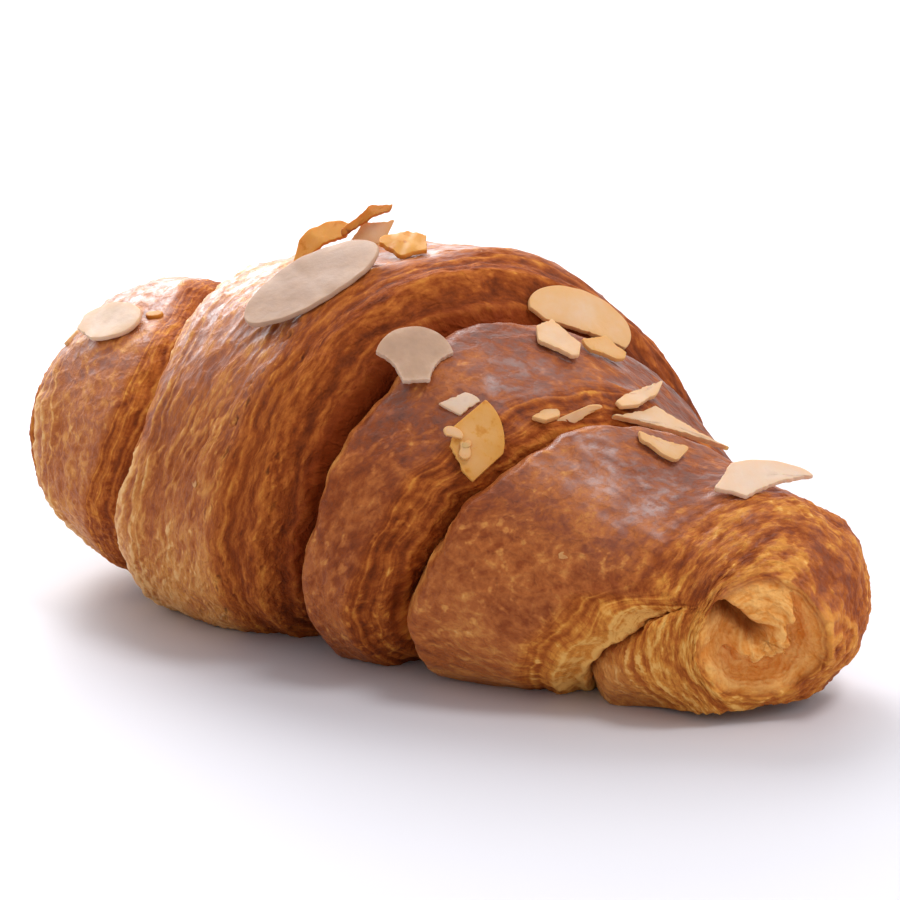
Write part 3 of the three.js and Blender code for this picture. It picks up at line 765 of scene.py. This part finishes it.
def dough_layers(flow, slope, way_in):
    """Edges of the dough sheets on a slope: lines along the crease, 0 in a gap and 1 on a sheet."""
    sway = flow.pattern("layer_sway").noise(3, 0.6) * LAYERS["sway"]
    line = flow.vector_of(sway + slope * LAYERS["slope"] + way_in * LAYERS["way_in"], 0.0, 0.0)
    breaks = flow.pattern("layer_breaks").noise(4, 0.65)
    torn = 0.42 + way_in.between(0.0, 0.6) * 0.08
    return (line.noise(2, 0.6) * (1 - torn) + breaks * torn).between(0.37, 0.63)


def pits_and_rims(flow, slope, pores):
    """Small open bubbles between the top skin and the slope, and the pale rims round them."""
    drift = flow.pattern("pit_drift").noise(2, 0.5).between(0.42, 0.5)
    border = slope.between(0.01, 0.06) * (1 - slope.between(0.16, 0.3))
    inner = flow.pattern("inner_pits").noise(2, 0.5).between(0.56, 0.62) * slope.between(0.1, 0.2)
    place = (drift * border).math("MAXIMUM", inner * (1 - slope.between(0.6, 0.8))) * pores
    away = wandering(flow, 0.7, 1.6).pattern("pit").cells("F1")
    pit = 1 - away.between(0.08, 0.29)
    rim = away.between(0.22, 0.32) * (1 - away.between(0.34, 0.48))
    return pit * place, rim * place


def crust_relief_tree(sizes):
    """Raises ridges, strands and dough sheets from the roll's skin and sinks dents and pits into it."""
    tree, size = shape_tree("crust_relief", sizes)
    start = size["Geometry"]
    flow = start.named("flow", vector=True)
    slope = start.named("slope")
    crease = start.named("crease")
    cut = start.named("cut")
    way_in = start.named("end")
    end = way_in.between(0.0, 0.6)
    pores = start.named("pores")
    on_slope = slope.between(0.02, 0.3).math("MAXIMUM", end * (1.3 - cut * 0.5))
    skin = (1 - on_slope * 0.8) * (1 - cut * 0.7) * (1 - crease * 0.7)
    height = (1 - skin_net(flow)) * size["Ridge height"] * skin * start.named("ridged")
    height = height + (1 - fine_net(flow)) * size["Fine ridge height"] * (1 - cut * 0.5)
    height = height + (dents(flow) - 0.5) * size["Dent depth"] * skin
    height = height + (mottle(flow) - 0.5) * size["Mottle height"] * (1 + cut * 1.5)
    height = height + strands(flow, start.named("rim")) * size["Strand height"]
    height = height + (dough_layers(flow, slope, way_in) - 0.5) * size["Sheet height"] * on_slope
    pit, pit_rim = pits_and_rims(flow, slope, pores)
    height = height + pit_rim * size["Pit rim height"] - pit * size["Pit depth"]
    offset = start.node("GeometryNodeInputNormal").scaled(height * MM)
    moved = start.node("GeometryNodeSetPosition", None, {"Geometry": start, "Offset": offset})
    x, y, z = start.node("GeometryNodeInputPosition").parts()
    rested = start.vector_of(x, y, z.math("MAXIMUM", 0.0))
    settled = moved.node("GeometryNodeSetPosition", None, {"Geometry": moved, "Position": rested})
    close_tree(tree, settled, size["Material"])
    return tree


# Flakes: corners, then least, most and seed of their lengths and widths, and how they are torn
FLAKE_SIDES = 7
FLAKE_LENGTHS = (0.5, 1.6, 3)
FLAKE_WIDTHS = (0.4, 1.0, 5)
FLAKE_TEAR = dict(fine=0.9, reach=1.2)


def random_between(start, low, high, seed):
    """A random value for each flake."""
    return start.node("FunctionNodeRandomValue", {"data_type": "FLOAT"}, {2: low, 3: high, "Seed": seed}, 1)


def flake_tree(sizes):
    """Loose flakes of crust scattered where the roll's surface is flaky."""
    tree, size = shape_tree("crust_flakes", sizes)
    start = size["Geometry"]
    flow = start.named("flow", vector=True)
    drift = flow.pattern("flake_drift").noise(3, 0.6).between(0.48, 0.64)
    clear = (1 - start.named("crease").between(0.05, 0.3)) * (1 - start.named("end").between(0.5, 0.9))
    _, _, facing_up = start.node("GeometryNodeInputNormal").parts()
    density = drift * clear * facing_up.between(-0.4, 0.0) * size["Density"]
    place = {"Mesh": start, "Density": density, "Seed": size["Seed"]}
    points = start.node("GeometryNodeDistributePointsOnFaces", None, place)
    lie = Field(tree, points.socket.node.outputs["Rotation"])
    corners = {"Vertices": FLAKE_SIDES, "Radius": size["Size"]}
    plate = start.node("GeometryNodeMeshCircle", {"fill_type": "NGON"}, corners)
    raised = {"Mesh": plate, "Offset Scale": size["Thickness"]}
    thick = start.node("GeometryNodeExtrudeMesh", {"mode": "FACES"}, raised)
    turn = start.vector_of(0.0, 0.0, random_between(start, 0.0, TURN, size["Seed"]))
    turns = {"Rotation": lie, "Rotate By": turn}
    turned = start.node("FunctionNodeRotateRotation", {"rotation_space": "LOCAL"}, turns)
    length = random_between(start, *FLAKE_LENGTHS)
    scale = start.vector_of(length, random_between(start, *FLAKE_WIDTHS), 1.0)
    spread = {"Points": points, "Instance": thick, "Rotation": turned, "Scale": scale}
    flakes = start.node("GeometryNodeInstanceOnPoints", None, spread)
    loose = start.node("GeometryNodeRealizeInstances", None, {"Geometry": flakes})
    spot = start.node("GeometryNodeInputPosition")
    offset = spot.scaled(FLAKE_TEAR["fine"] / MM).wander(1).scaled(size["Size"] * FLAKE_TEAR["reach"])
    torn = start.node("GeometryNodeSetPosition", None, {"Geometry": loose, "Offset": offset})
    close_tree(tree, torn, size["Material"])
    return tree


def bare_material(name):
    material = bpy.data.materials.new(name)
    material.use_nodes = True
    tree = material.node_tree
    tree.nodes.clear()
    return material, Field(tree)


def finished(surface, inputs):
    """The material's surface: a shader with its constants set and what varies linked."""
    shader = surface.node("ShaderNodeBsdfPrincipled", None, inputs)
    out = surface.tree.nodes.new("ShaderNodeOutputMaterial")
    surface.tree.links.new(shader.socket, out.inputs["Surface"])


CRUST_TONES = [
    (0.0, (0.86, 0.50, 0.20)),
    (0.2, (0.69, 0.29, 0.07)),
    (0.45, (0.47, 0.137, 0.032)),
    (0.7, (0.28, 0.06, 0.012)),
    (1.0, (0.12, 0.022, 0.005)),
]
SLOPE_TINT = (1.04, 0.98, 0.66)
# Painted shade in the grooves between the wraps
GROOVE_SHADE_TONE = (0.24, 0.037, 0.004)
# Painted shade inside the open bubbles
PIT_SHADE_TONE = (0.0, 0.0, 0.0)
CUP_TONES = ((0.74, 0.24, 0.028), (0.97, 0.53, 0.17))
# Painted shade in the slot under the open end's lip and in the closed end's spiral hollow
SLOT_SHADE_TONE = (0.36, 0.095, 0.012)
# How much each mark browns the crust, or pales it where it is below 0; gap and end_gap are painted shade
# in the gaps between the dough sheets
BROWN = dict(
    skin=0.53, ridge=-0.36, low_ridge=0.16, fine_net=0.06, patch=0.6, mottle=0.8, grain=0.16, flank=-0.3,
    low=-0.05, low_ridged=-0.3, side=0.5, end=-0.1, gap=0.46, end_gap=0.1, end_mottle=-0.3, side_patch=0.3,
    strand=-0.27, pit_rim=-0.14, fleck=-0.24, lip=-0.14,
)
EGG_WASH = dict(least=0.25, roughness=0.38, ior=1.75)
CRUST_SPECULAR = 0.14
CRUST_BUMP = dict(strength=0.9, depth=0.45, mottle=0.8, grain=0.3, fine_net=-0.25)


def crust_material():
    material, surface = bare_material("egg_washed_crust")
    flow = surface.named("flow", vector=True)
    slope = surface.named("slope")
    crease = surface.named("crease")
    cut = surface.named("cut")
    hollow = surface.named("hollow")
    top = surface.named("top")
    net = skin_net(flow)
    small_net = fine_net(flow)
    patch = patches(flow)
    small = mottle(flow)
    fine = grain(flow)
    strand = strands(flow, surface.named("rim"))
    way_in = surface.named("end")
    end = way_in.between(0.0, 0.6)
    sheet = dough_layers(flow, slope, way_in)
    pores = surface.named("pores")
    pit, pit_rim = pits_and_rims(flow, slope, pores)
    low = 1 - top.between(-0.8, 0.3)
    lip = surface.named("lip").between(0.45, 0.95)
    on_slope = slope.between(0.02, 0.3).math("MAXIMUM", end)
    ridged = surface.named("ridged")
    ridge = (1 - net) * ridged
    skin = 1 - ridge
    fleck = flecks(flow, low)
    flank = crease.between(0.01, 0.15) * (1 - crease.between(0.4, 0.65)) * (1 - on_slope)
    flank = flank * flow.pattern("flank").noise(2, 0.5).between(0.4, 0.55)
    crown = BROWN["skin"] + ridge * (BROWN["ridge"] + low * BROWN["low_ridge"])
    crown = crown + small_net * BROWN["fine_net"] + (patch - 0.5) * BROWN["patch"]
    crown = crown + (small - 0.5) * BROWN["mottle"] + flank * BROWN["flank"]
    crown = crown + low * (BROWN["low"] + ridged * BROWN["low_ridged"])
    # Slopes and the open end: the gaps between the dough sheets get painted shade
    side = BROWN["side"] + end * BROWN["end"] + (0.5 - sheet) * (BROWN["gap"] + end * BROWN["end_gap"])
    side = side + (small - 0.5) * (BROWN["mottle"] + end * BROWN["end_mottle"])
    side = side + (patch - 0.5) * BROWN["side_patch"]
    bake = surface.named("bake") + crown + (side - crown) * on_slope + (fine - 0.5) * BROWN["grain"]
    bake = bake + strand * BROWN["strand"] + pit_rim * BROWN["pit_rim"]
    bake = bake + fleck * BROWN["fleck"] + lip * BROWN["lip"]
    colour = bake.node("ShaderNodeValToRGB", {"stops": CRUST_TONES}, {0: bake})
    colour = on_slope.tinted(colour, SLOPE_TINT)
    # Painted shade darkens the grooves, less where a golden lip overhangs them
    colour = (crease.between(0.3, 0.85) * (1 - lip * 0.8)).mixed(colour, GROOVE_SHADE_TONE)
    inside = (small * 0.5 + fine * 0.3 + sheet * 0.3).between(0.25, 0.85).mixed(*CUP_TONES)
    colour = cut.mixed(colour, inside)
    # Painted shade in the slot and the spiral hollow
    colour = (hollow.between(0.1, 0.7) * 0.85).mixed(colour, SLOT_SHADE_TONE)
    # Painted shade blackens the insides of the pits
    colour = (pit * 0.62).mixed(colour, PIT_SHADE_TONE)
    smooth_skin = small.between(0.4, 0.58) * 0.75 + fine.between(0.35, 0.65) * 0.25
    gloss = (EGG_WASH["least"] + smooth_skin * (1 - EGG_WASH["least"])) * skin * top.between(0.1, 0.8)
    gloss = gloss * (1 - cut) * (1 - on_slope * 0.72) * (1 - crease.between(0.0, 0.2))
    relief = small * CRUST_BUMP["mottle"] + fine * CRUST_BUMP["grain"] + small_net * CRUST_BUMP["fine_net"]
    depths = {"Strength": CRUST_BUMP["strength"], "Distance": CRUST_BUMP["depth"] * MM, "Height": relief}
    bump = relief.node("ShaderNodeBump", None, depths)
    finished(surface, {
        "Base Color": colour,
        "Roughness": 0.5 - skin * 0.06 + (fine - 0.5) * 0.2 + cut * 0.2 + on_slope * 0.3,
        "Coat Weight": gloss,
        "Coat Roughness": EGG_WASH["roughness"],
        "Coat IOR": EGG_WASH["ior"],
        "Specular IOR Level": CRUST_SPECULAR,
        "Normal": bump,
    })
    return material


FLAKE_TONES = ((0.46, 0.17, 0.04), (0.62, 0.31, 0.1))


def spot_in_mm(surface):
    return surface.node("ShaderNodeTexCoord", None, None, 3).scaled(1 / MM)


def flake_material():
    material, surface = bare_material("loose_flake")
    grain = spot_in_mm(surface).scaled(0.6).noise(3, 0.6)
    colour = grain.between(0.3, 0.7).mixed(*FLAKE_TONES)
    finished(surface, {"Base Color": colour, "Roughness": 0.4 + grain * 0.2})
    return material


# Almond colours along toast: the first two stops, darker than the pale almond, are painted shade for slices
# that lie in shade; from the third on they go from pale to toasted brown
ALMOND_TONES = [
    (0.0, (0.39, 0.245, 0.165)),
    (0.1, (0.5, 0.32, 0.215)),
    (0.22, (0.75, 0.57, 0.44)),
    (0.42, (0.74, 0.44, 0.21)),
    (0.6, (0.68, 0.33, 0.07)),
    (0.8, (0.6, 0.24, 0.035)),
    (1.0, (0.3, 0.09, 0.015)),
]
# How much more toasted an almond's edge, clouds, grain and spots are, and how far light goes into it
TOASTED = dict(edge=0.08, cloud=0.16, grain=0.1, spot=0.22)
PALE_GLOW = dict(weight=0.3, depth=1.0)
TOASTED_GLOW = dict(weight=0.5, depth=1.6)
ALMOND_SPECULAR = 0.2
ALMOND_BUMP = dict(strength=0.25, depth=0.25)


def almond_material(name, glow):
    material, surface = bare_material(name)
    spot = spot_in_mm(surface)
    edge = surface.named("edge")
    toast = surface.named("toast")
    grain = spot.scaled(0.9).noise(4, 0.6)
    cloud = spot.scaled(0.25).noise(2, 0.5)
    spots = spot.scaled(0.5).noise(3, 0.6).between(0.56, 0.7) * toast.between(0.4, 0.5)
    tone = toast + (edge ** 3.0) * TOASTED["edge"] + (cloud - 0.5) * TOASTED["cloud"]
    tone = tone + (grain - 0.5) * TOASTED["grain"] + spots * TOASTED["spot"]
    colour = tone.node("ShaderNodeValToRGB", {"stops": ALMOND_TONES}, {0: tone})
    depths = {"Strength": ALMOND_BUMP["strength"], "Distance": ALMOND_BUMP["depth"] * MM, "Height": grain}
    bump = grain.node("ShaderNodeBump", None, depths)
    finished(surface, {
        "Base Color": colour,
        "Roughness": 0.45 + (grain - 0.5) * 0.25,
        "Specular IOR Level": ALMOND_SPECULAR,
        "Subsurface Weight": glow["weight"],
        "Subsurface Radius": (1.0, 0.55, 0.25),
        "Subsurface Scale": glow["depth"] * MM,
        "Normal": bump,
    })
    return material


def clipped(points, direction, distance):
    """A closed outline cut off beyond a straight break."""
    way = np.array([math.cos(direction), math.sin(direction)])
    kept = []
    for p, q in zip(points, np.roll(points, -1, 0)):
        dp, dq = p @ way - distance, q @ way - distance
        if dp <= 0:
            kept.append(p)
        if dp * dq < 0:
            kept.append(p + (q - p) * dp / (dp - dq))
    return np.array(kept)


def slice_outline(piece, sides):
    a = np.arange(sides) * TURN / sides
    points = np.stack([
        piece["long"] / 2 * np.cos(a),
        piece["wide"] / 2 * np.sin(a) * (1 - piece.get("egg", 0) * np.cos(a)),
    ], -1)
    for direction, distance, _ in piece.get("breaks", []):
        points = clipped(points, math.radians(direction), distance)
    gaps = np.linalg.norm(points - np.roll(points, -1, 0), axis=1)
    return points[gaps > SHORTEST_SIDE] if sides == SLICE_SIDES else points


# Edges of a torn slice: points round it, longest step, unevenness and share that stays unsmoothed
TORN_SIDES = 90
TORN_STEP = 0.3
TORN_JAG = 0.09
TORN_CRISP = 0.7


def torn_outline(piece, rng):
    """The slice's outline in short steps, with hollow, uneven edges where it broke."""
    points = slice_outline(piece, TORN_SIDES)
    made = []
    for p, q in zip(points, np.roll(points, -1, 0)):
        length = np.linalg.norm(q - p)
        count = max(1, round(length / TORN_STEP))
        out = np.array([q[1] - p[1], p[0] - q[0]]) / max(length, 1e-6)
        hollow = 0.0
        for direction, _, depth in piece.get("breaks", []):
            way = np.array([math.cos(math.radians(direction)), math.sin(math.radians(direction))])
            if out @ way > 0.995 and count > 2:
                hollow = depth
        for i in range(count):
            s = i / count
            inset = hollow * 4 * s * (1 - s)
            jag = rng.normal(0, TORN_JAG) if hollow > 0 and 0 < i < count - 1 else 0
            made.append(p + (q - p) * s - out * (inset + jag))
    made = np.array(made)
    beside = (np.roll(made, 1, 0) + np.roll(made, -1, 0)) / 2
    return made * TORN_CRISP + beside * (1 - TORN_CRISP)


EDGE_ROUND = 0.16
CRUMPLE = 0.2
FACE_SHARES = (0, 0.25, 0.5, 0.75)
EDGE_SHARES = (0, 0.3, 0.55, 0.75, 0.9, 1)


def slice_rings(piece, outline, levels):
    middle = outline.mean(0)
    droop = piece.get("arch", 0)
    rings = []
    for share, z in levels:
        flat = middle + (outline - middle) * share if share else middle[None]
        sag = droop * (flat[:, 0] / (piece["long"] / 2)) ** 2
        rings.append(np.column_stack([flat, z - sag]))
    return rings


def rounded_levels(piece):
    """Shares of the outline with their heights: underside, blunt edge, top."""
    half = SLICE_SEEN / 2
    flat = 1 - EDGE_ROUND / (min(piece["long"], piece["wide"]) / 2)
    top = [(flat * share, half) for share in FACE_SHARES]
    top += [(flat + (1 - flat) * t, half * math.sqrt(1 - t**3)) for t in EDGE_SHARES]
    return [(share, -z) for share, z in top[:-1]] + [(1, 0)] + list(reversed(top[:-1]))


def slice_axes(normal, turn):
    level = Vector((0, 0, 1)).cross(normal).normalized()
    climb = normal.cross(level)
    along = level * math.cos(turn) + climb * math.sin(turn)
    return np.array([along, normal.cross(along), normal])


def face_normal(heading, elevation):
    h, e = math.radians(heading), math.radians(elevation)
    return Vector((math.sin(h) * math.cos(e), -math.cos(h) * math.cos(e), math.sin(e)))


def skinned(name, rings, shares, toast):
    """A closed mesh over rings that run from pole to pole, with the marks for the almond material."""
    points = np.concatenate(rings)
    count = len(rings[1])
    faces = []
    step = np.arange(count)
    after = (step + 1) % count
    for i in range(len(rings) - 3):
        a = 1 + i * count
        b = a + count
        faces += np.stack([a + step, a + after, b + after, b + step], -1).tolist()
    end = len(points) - 1
    faces += [(0, 1 + j, 1 + i) for i, j in zip(step, after)]
    faces += [(end - count + i, end - count + j, end) for i, j in zip(step, after)]
    mesh = bpy.data.meshes.new(name)
    mesh.from_pydata((points * MM).tolist(), [], faces)
    mesh.polygons.foreach_set("use_smooth", np.ones(len(mesh.polygons), bool))
    edge = np.concatenate([np.full(len(ring), share) for ring, share in zip(rings, shares)])
    put_mark(mesh, "edge", edge)
    put_mark(mesh, "toast", np.full(len(points), toast))
    return outward_mesh(mesh)


def uneven(rings, rng, crumple):
    """A slice's faces are not quite flat, and a toasted one is crumpled."""
    phase = rng.uniform(0, TURN, 3)
    for ring in rings:
        x, y = ring[:, 0], ring[:, 1]
        broad = 0.1 * np.sin(0.55 * x + phase[0]) * np.cos(0.6 * y + phase[1])
        small = 0.04 * np.sin(1.7 * x + phase[2])
        fold = np.sin(1.1 * x + 0.5 * y + phase[1]) + 0.5 * np.sin(1.6 * y - 2.3 * x + phase[0])
        ring[:, 2] += broad + small + crumple * fold
    return rings


def almond_mesh(name, piece, axes, place, rng, crumple=0):
    """A slice, splinter or crumb of almond with these axes, its middle in this place."""
    levels = rounded_levels(piece)
    rings = uneven(slice_rings(piece, torn_outline(piece, rng), levels), rng, crumple)
    placed = [ring @ axes + place for ring in rings]
    return skinned(name, placed, [share for share, _ in levels], piece["toast"])


def slice_place(name, piece):
    """The axes of a slice and the middle of its lower half, from its solid's box."""
    axes = slice_axes(face_normal(*piece["face"]), math.radians(piece["turn"]))
    half = SLICE_THICK / 2
    plain = [(0, -half), (FLAT_SHARE, -half), (1, 0), (FLAT_SHARE, half), (0, half)]
    coarse = np.concatenate(slice_rings(piece, slice_outline(piece, SLICE_SIDES), plain)) @ axes
    low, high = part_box(name)
    place = np.array((low + high) / 2) / MM - (coarse.min(0) + coarse.max(0)) / 2
    return axes, place - axes[2] * (SLICE_THICK - SLICE_SEEN) / 2


def detailed_slice(name, piece, rng):
    """A slice of finer shape in the place of its solid."""
    axes, place = slice_place(name, piece)
    crumple = CRUMPLE if name.startswith("toasted") else 0
    return almond_mesh(name, piece, axes, place, rng, crumple)


def splinter_mesh(piece, crust, rng):
    """A splinter lying on the crust where the roll's radius meets it."""
    angle = math.radians(piece["round"])
    middle = Vector((piece["x"] - MIDDLE[0], -MIDDLE[1], float(axis_height(np.float64(piece["x"])))))
    away = Vector((0, -math.cos(angle) * WIDTH_RATIO, math.sin(angle))).normalized()
    seat, normal, _, _ = crust.ray_cast((middle + away * OUTSIDE) * MM, -away)
    axes = slice_axes(normal, math.radians(piece["turn"]))
    place = np.array(seat) / MM + np.array(normal) * SPLINTER_LIFT
    return almond_mesh("splinter", piece, axes, place, rng)


def crumb_mesh(crumb, rng):
    """A crumb lying on the face of its slice."""
    axes, place = slice_place(crumb["on"], SLICES[crumb["on"]])
    turn = math.radians(crumb["turn"])
    along = axes[0] * math.cos(turn) + axes[1] * math.sin(turn)
    own = np.array([along, np.cross(axes[2], along), axes[2]])
    seat = place + axes[0] * crumb["along"] + axes[1] * crumb["across"] + axes[2] * CRUMB_LIFT
    return almond_mesh("crumb", crumb, own, seat, rng)


def joined(name, meshes):
    """Meshes of one kind as one mesh, marks kept."""
    objects = [shown(name, mesh) for mesh in meshes]
    with bpy.context.temp_override(active_object=objects[0], selected_editable_objects=objects):
        bpy.ops.object.join()
    return objects[0]


rng = np.random.default_rng(SEED)
crust_look = crust_material()
flake_look = flake_material()
almond_look = almond_material("flaked_almond", PALE_GLOW)
toasted_look = almond_material("toasted_almond_flake", TOASTED_GLOW)

RELIEF = {
    "Ridge height": 0.34,
    "Fine ridge height": 0.1,
    "Dent depth": 0.9,
    "Mottle height": 0.3,
    "Strand height": 0.35,
    "Sheet height": 0.46,
    "Pit depth": 0.9,
    "Pit rim height": 0.15,
}
crust = shown("crust", roll_mesh())
shaped(crust, crust_relief_tree(RELIEF), crust_look, RELIEF)
crust.data.polygons.foreach_set("use_smooth", np.ones(len(crust.data.polygons), bool))
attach(crust, "root")
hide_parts("pastry")

FLAKES = {"Density": 7000.0, "Size": 0.6 * MM, "Thickness": 0.05 * MM, "Seed": SEED}
flakes = shown("crust_flakes", crust.data.copy())
shaped(flakes, flake_tree(FLAKES), flake_look, FLAKES)
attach(flakes, "root")

for name, piece in SLICES.items():
    toasted = name.startswith("toasted")
    mesh = detailed_slice(name, piece, rng)
    flaked = shown("flaked_" + name, mesh, toasted_look if toasted else almond_look)
    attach(flaked, "root")
    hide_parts(name)

crust_tree = BVHTree.FromPolygons(
    [v.co for v in crust.data.vertices], [p.vertices for p in crust.data.polygons],
)
bits = [splinter_mesh(piece, crust_tree, rng) for piece in SPLINTERS]
bits += [crumb_mesh(crumb, rng) for crumb in CRUMBS]
splinters = joined("almond_splinters", bits)
splinters.data.materials.append(almond_look)
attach(splinters, "root")

# Floor, light and camera
FLOOR_REACH = 4.0
FLOOR_TONE = (0.675, 0.68, 0.735, 1)
floor_mesh = bpy.data.meshes.new("floor")
corners = [(-1, -1, 0), (1, -1, 0), (1, 1, 0), (-1, 1, 0)]
floor_mesh.from_pydata([(x * FLOOR_REACH, y * FLOOR_REACH, z) for x, y, z in corners], [], [(0, 1, 2, 3)])
floor_look, floor_surface = bare_material("white_board")
finished(floor_surface, {"Base Color": FLOOR_TONE, "Roughness": 0.6})
floor = shown("floor", floor_mesh, floor_look)


# Lights in metres and watts, all turned towards the roll
LIT_POINT = Vector((0, 0, 0.03))
WHITE = (1.0, 0.99, 0.99)
WARM = (1.0, 0.98, 0.96)
LIGHTS = [
    dict(name="key", place=(-0.7, 0.42, 0.9), size=(0.6, 0.6), power=6.8, colour=WHITE),
    dict(name="overhead", place=(0.48, 0.04, 1.05), size=(0.3, 0.3), power=4, colour=WHITE),
    dict(name="left_window", place=(-1.0, 0.65, 0.52), size=(0.7, 0.4), power=5, colour=WHITE),
    dict(name="backdrop", place=(-1.08, 0.72, 0.6), size=(2.2, 1.0), power=10, colour=WHITE),
    dict(name="right_window", place=(0.75, 0.65, 0.5), size=(0.6, 0.6), power=1.5, colour=WARM),
]
SKY = dict(tone=(1.0, 0.98, 0.98, 1), strength=0.68)


def soft_light(name, place, size, power, colour):
    lamp = bpy.data.lights.new(name, "AREA")
    lamp.shape = "RECTANGLE"
    lamp.size, lamp.size_y = size
    lamp.energy = power
    lamp.color = colour
    light = bpy.data.objects.new(name, lamp)
    light.location = place
    light.rotation_euler = (LIT_POINT - Vector(place)).to_track_quat("-Z", "Y").to_euler()
    bpy.context.collection.objects.link(light)


for light in LIGHTS:
    soft_light(**light)

world = bpy.data.worlds.new("studio")
world.use_nodes = True
sky = world.node_tree.nodes["Background"]
sky.inputs["Color"].default_value = SKY["tone"]
sky.inputs["Strength"].default_value = SKY["strength"]
bpy.context.scene.world = world
bpy.context.scene.view_settings.view_transform = "Standard"

# Camera: focal length, frame and centre in pixels of the photograph, the rest in degrees and millimetres
CAMERA = dict(
    azimuth=38, elevation=14, distance=560, aim=(0, 0, 27), focal=3690, frame=900, centre=(425, 458),
)
a, e = math.radians(CAMERA["azimuth"]), math.radians(CAMERA["elevation"])
back = Vector((math.sin(a) * math.cos(e), -math.cos(a) * math.cos(e), math.sin(e)))
right = Vector((math.cos(a), math.sin(a), 0))
aim = Vector(CAMERA["aim"]) - Vector((*MIDDLE, 0))
lens = bpy.data.cameras.new("camera")
lens.sensor_width = 36
lens.lens = CAMERA["focal"] * lens.sensor_width / CAMERA["frame"]
lens.shift_x = (CAMERA["frame"] / 2 - CAMERA["centre"][0]) / CAMERA["frame"]
lens.shift_y = (CAMERA["centre"][1] - CAMERA["frame"] / 2) / CAMERA["frame"]
lens.clip_start = 0.01
camera = bpy.data.objects.new("camera", lens)
turned = Matrix((right, back.cross(right), back)).transposed().to_4x4()
camera.matrix_world = Matrix.Translation((aim + back * CAMERA["distance"]) * MM) @ turned
bpy.context.collection.objects.link(camera)
bpy.context.scene.camera = camera
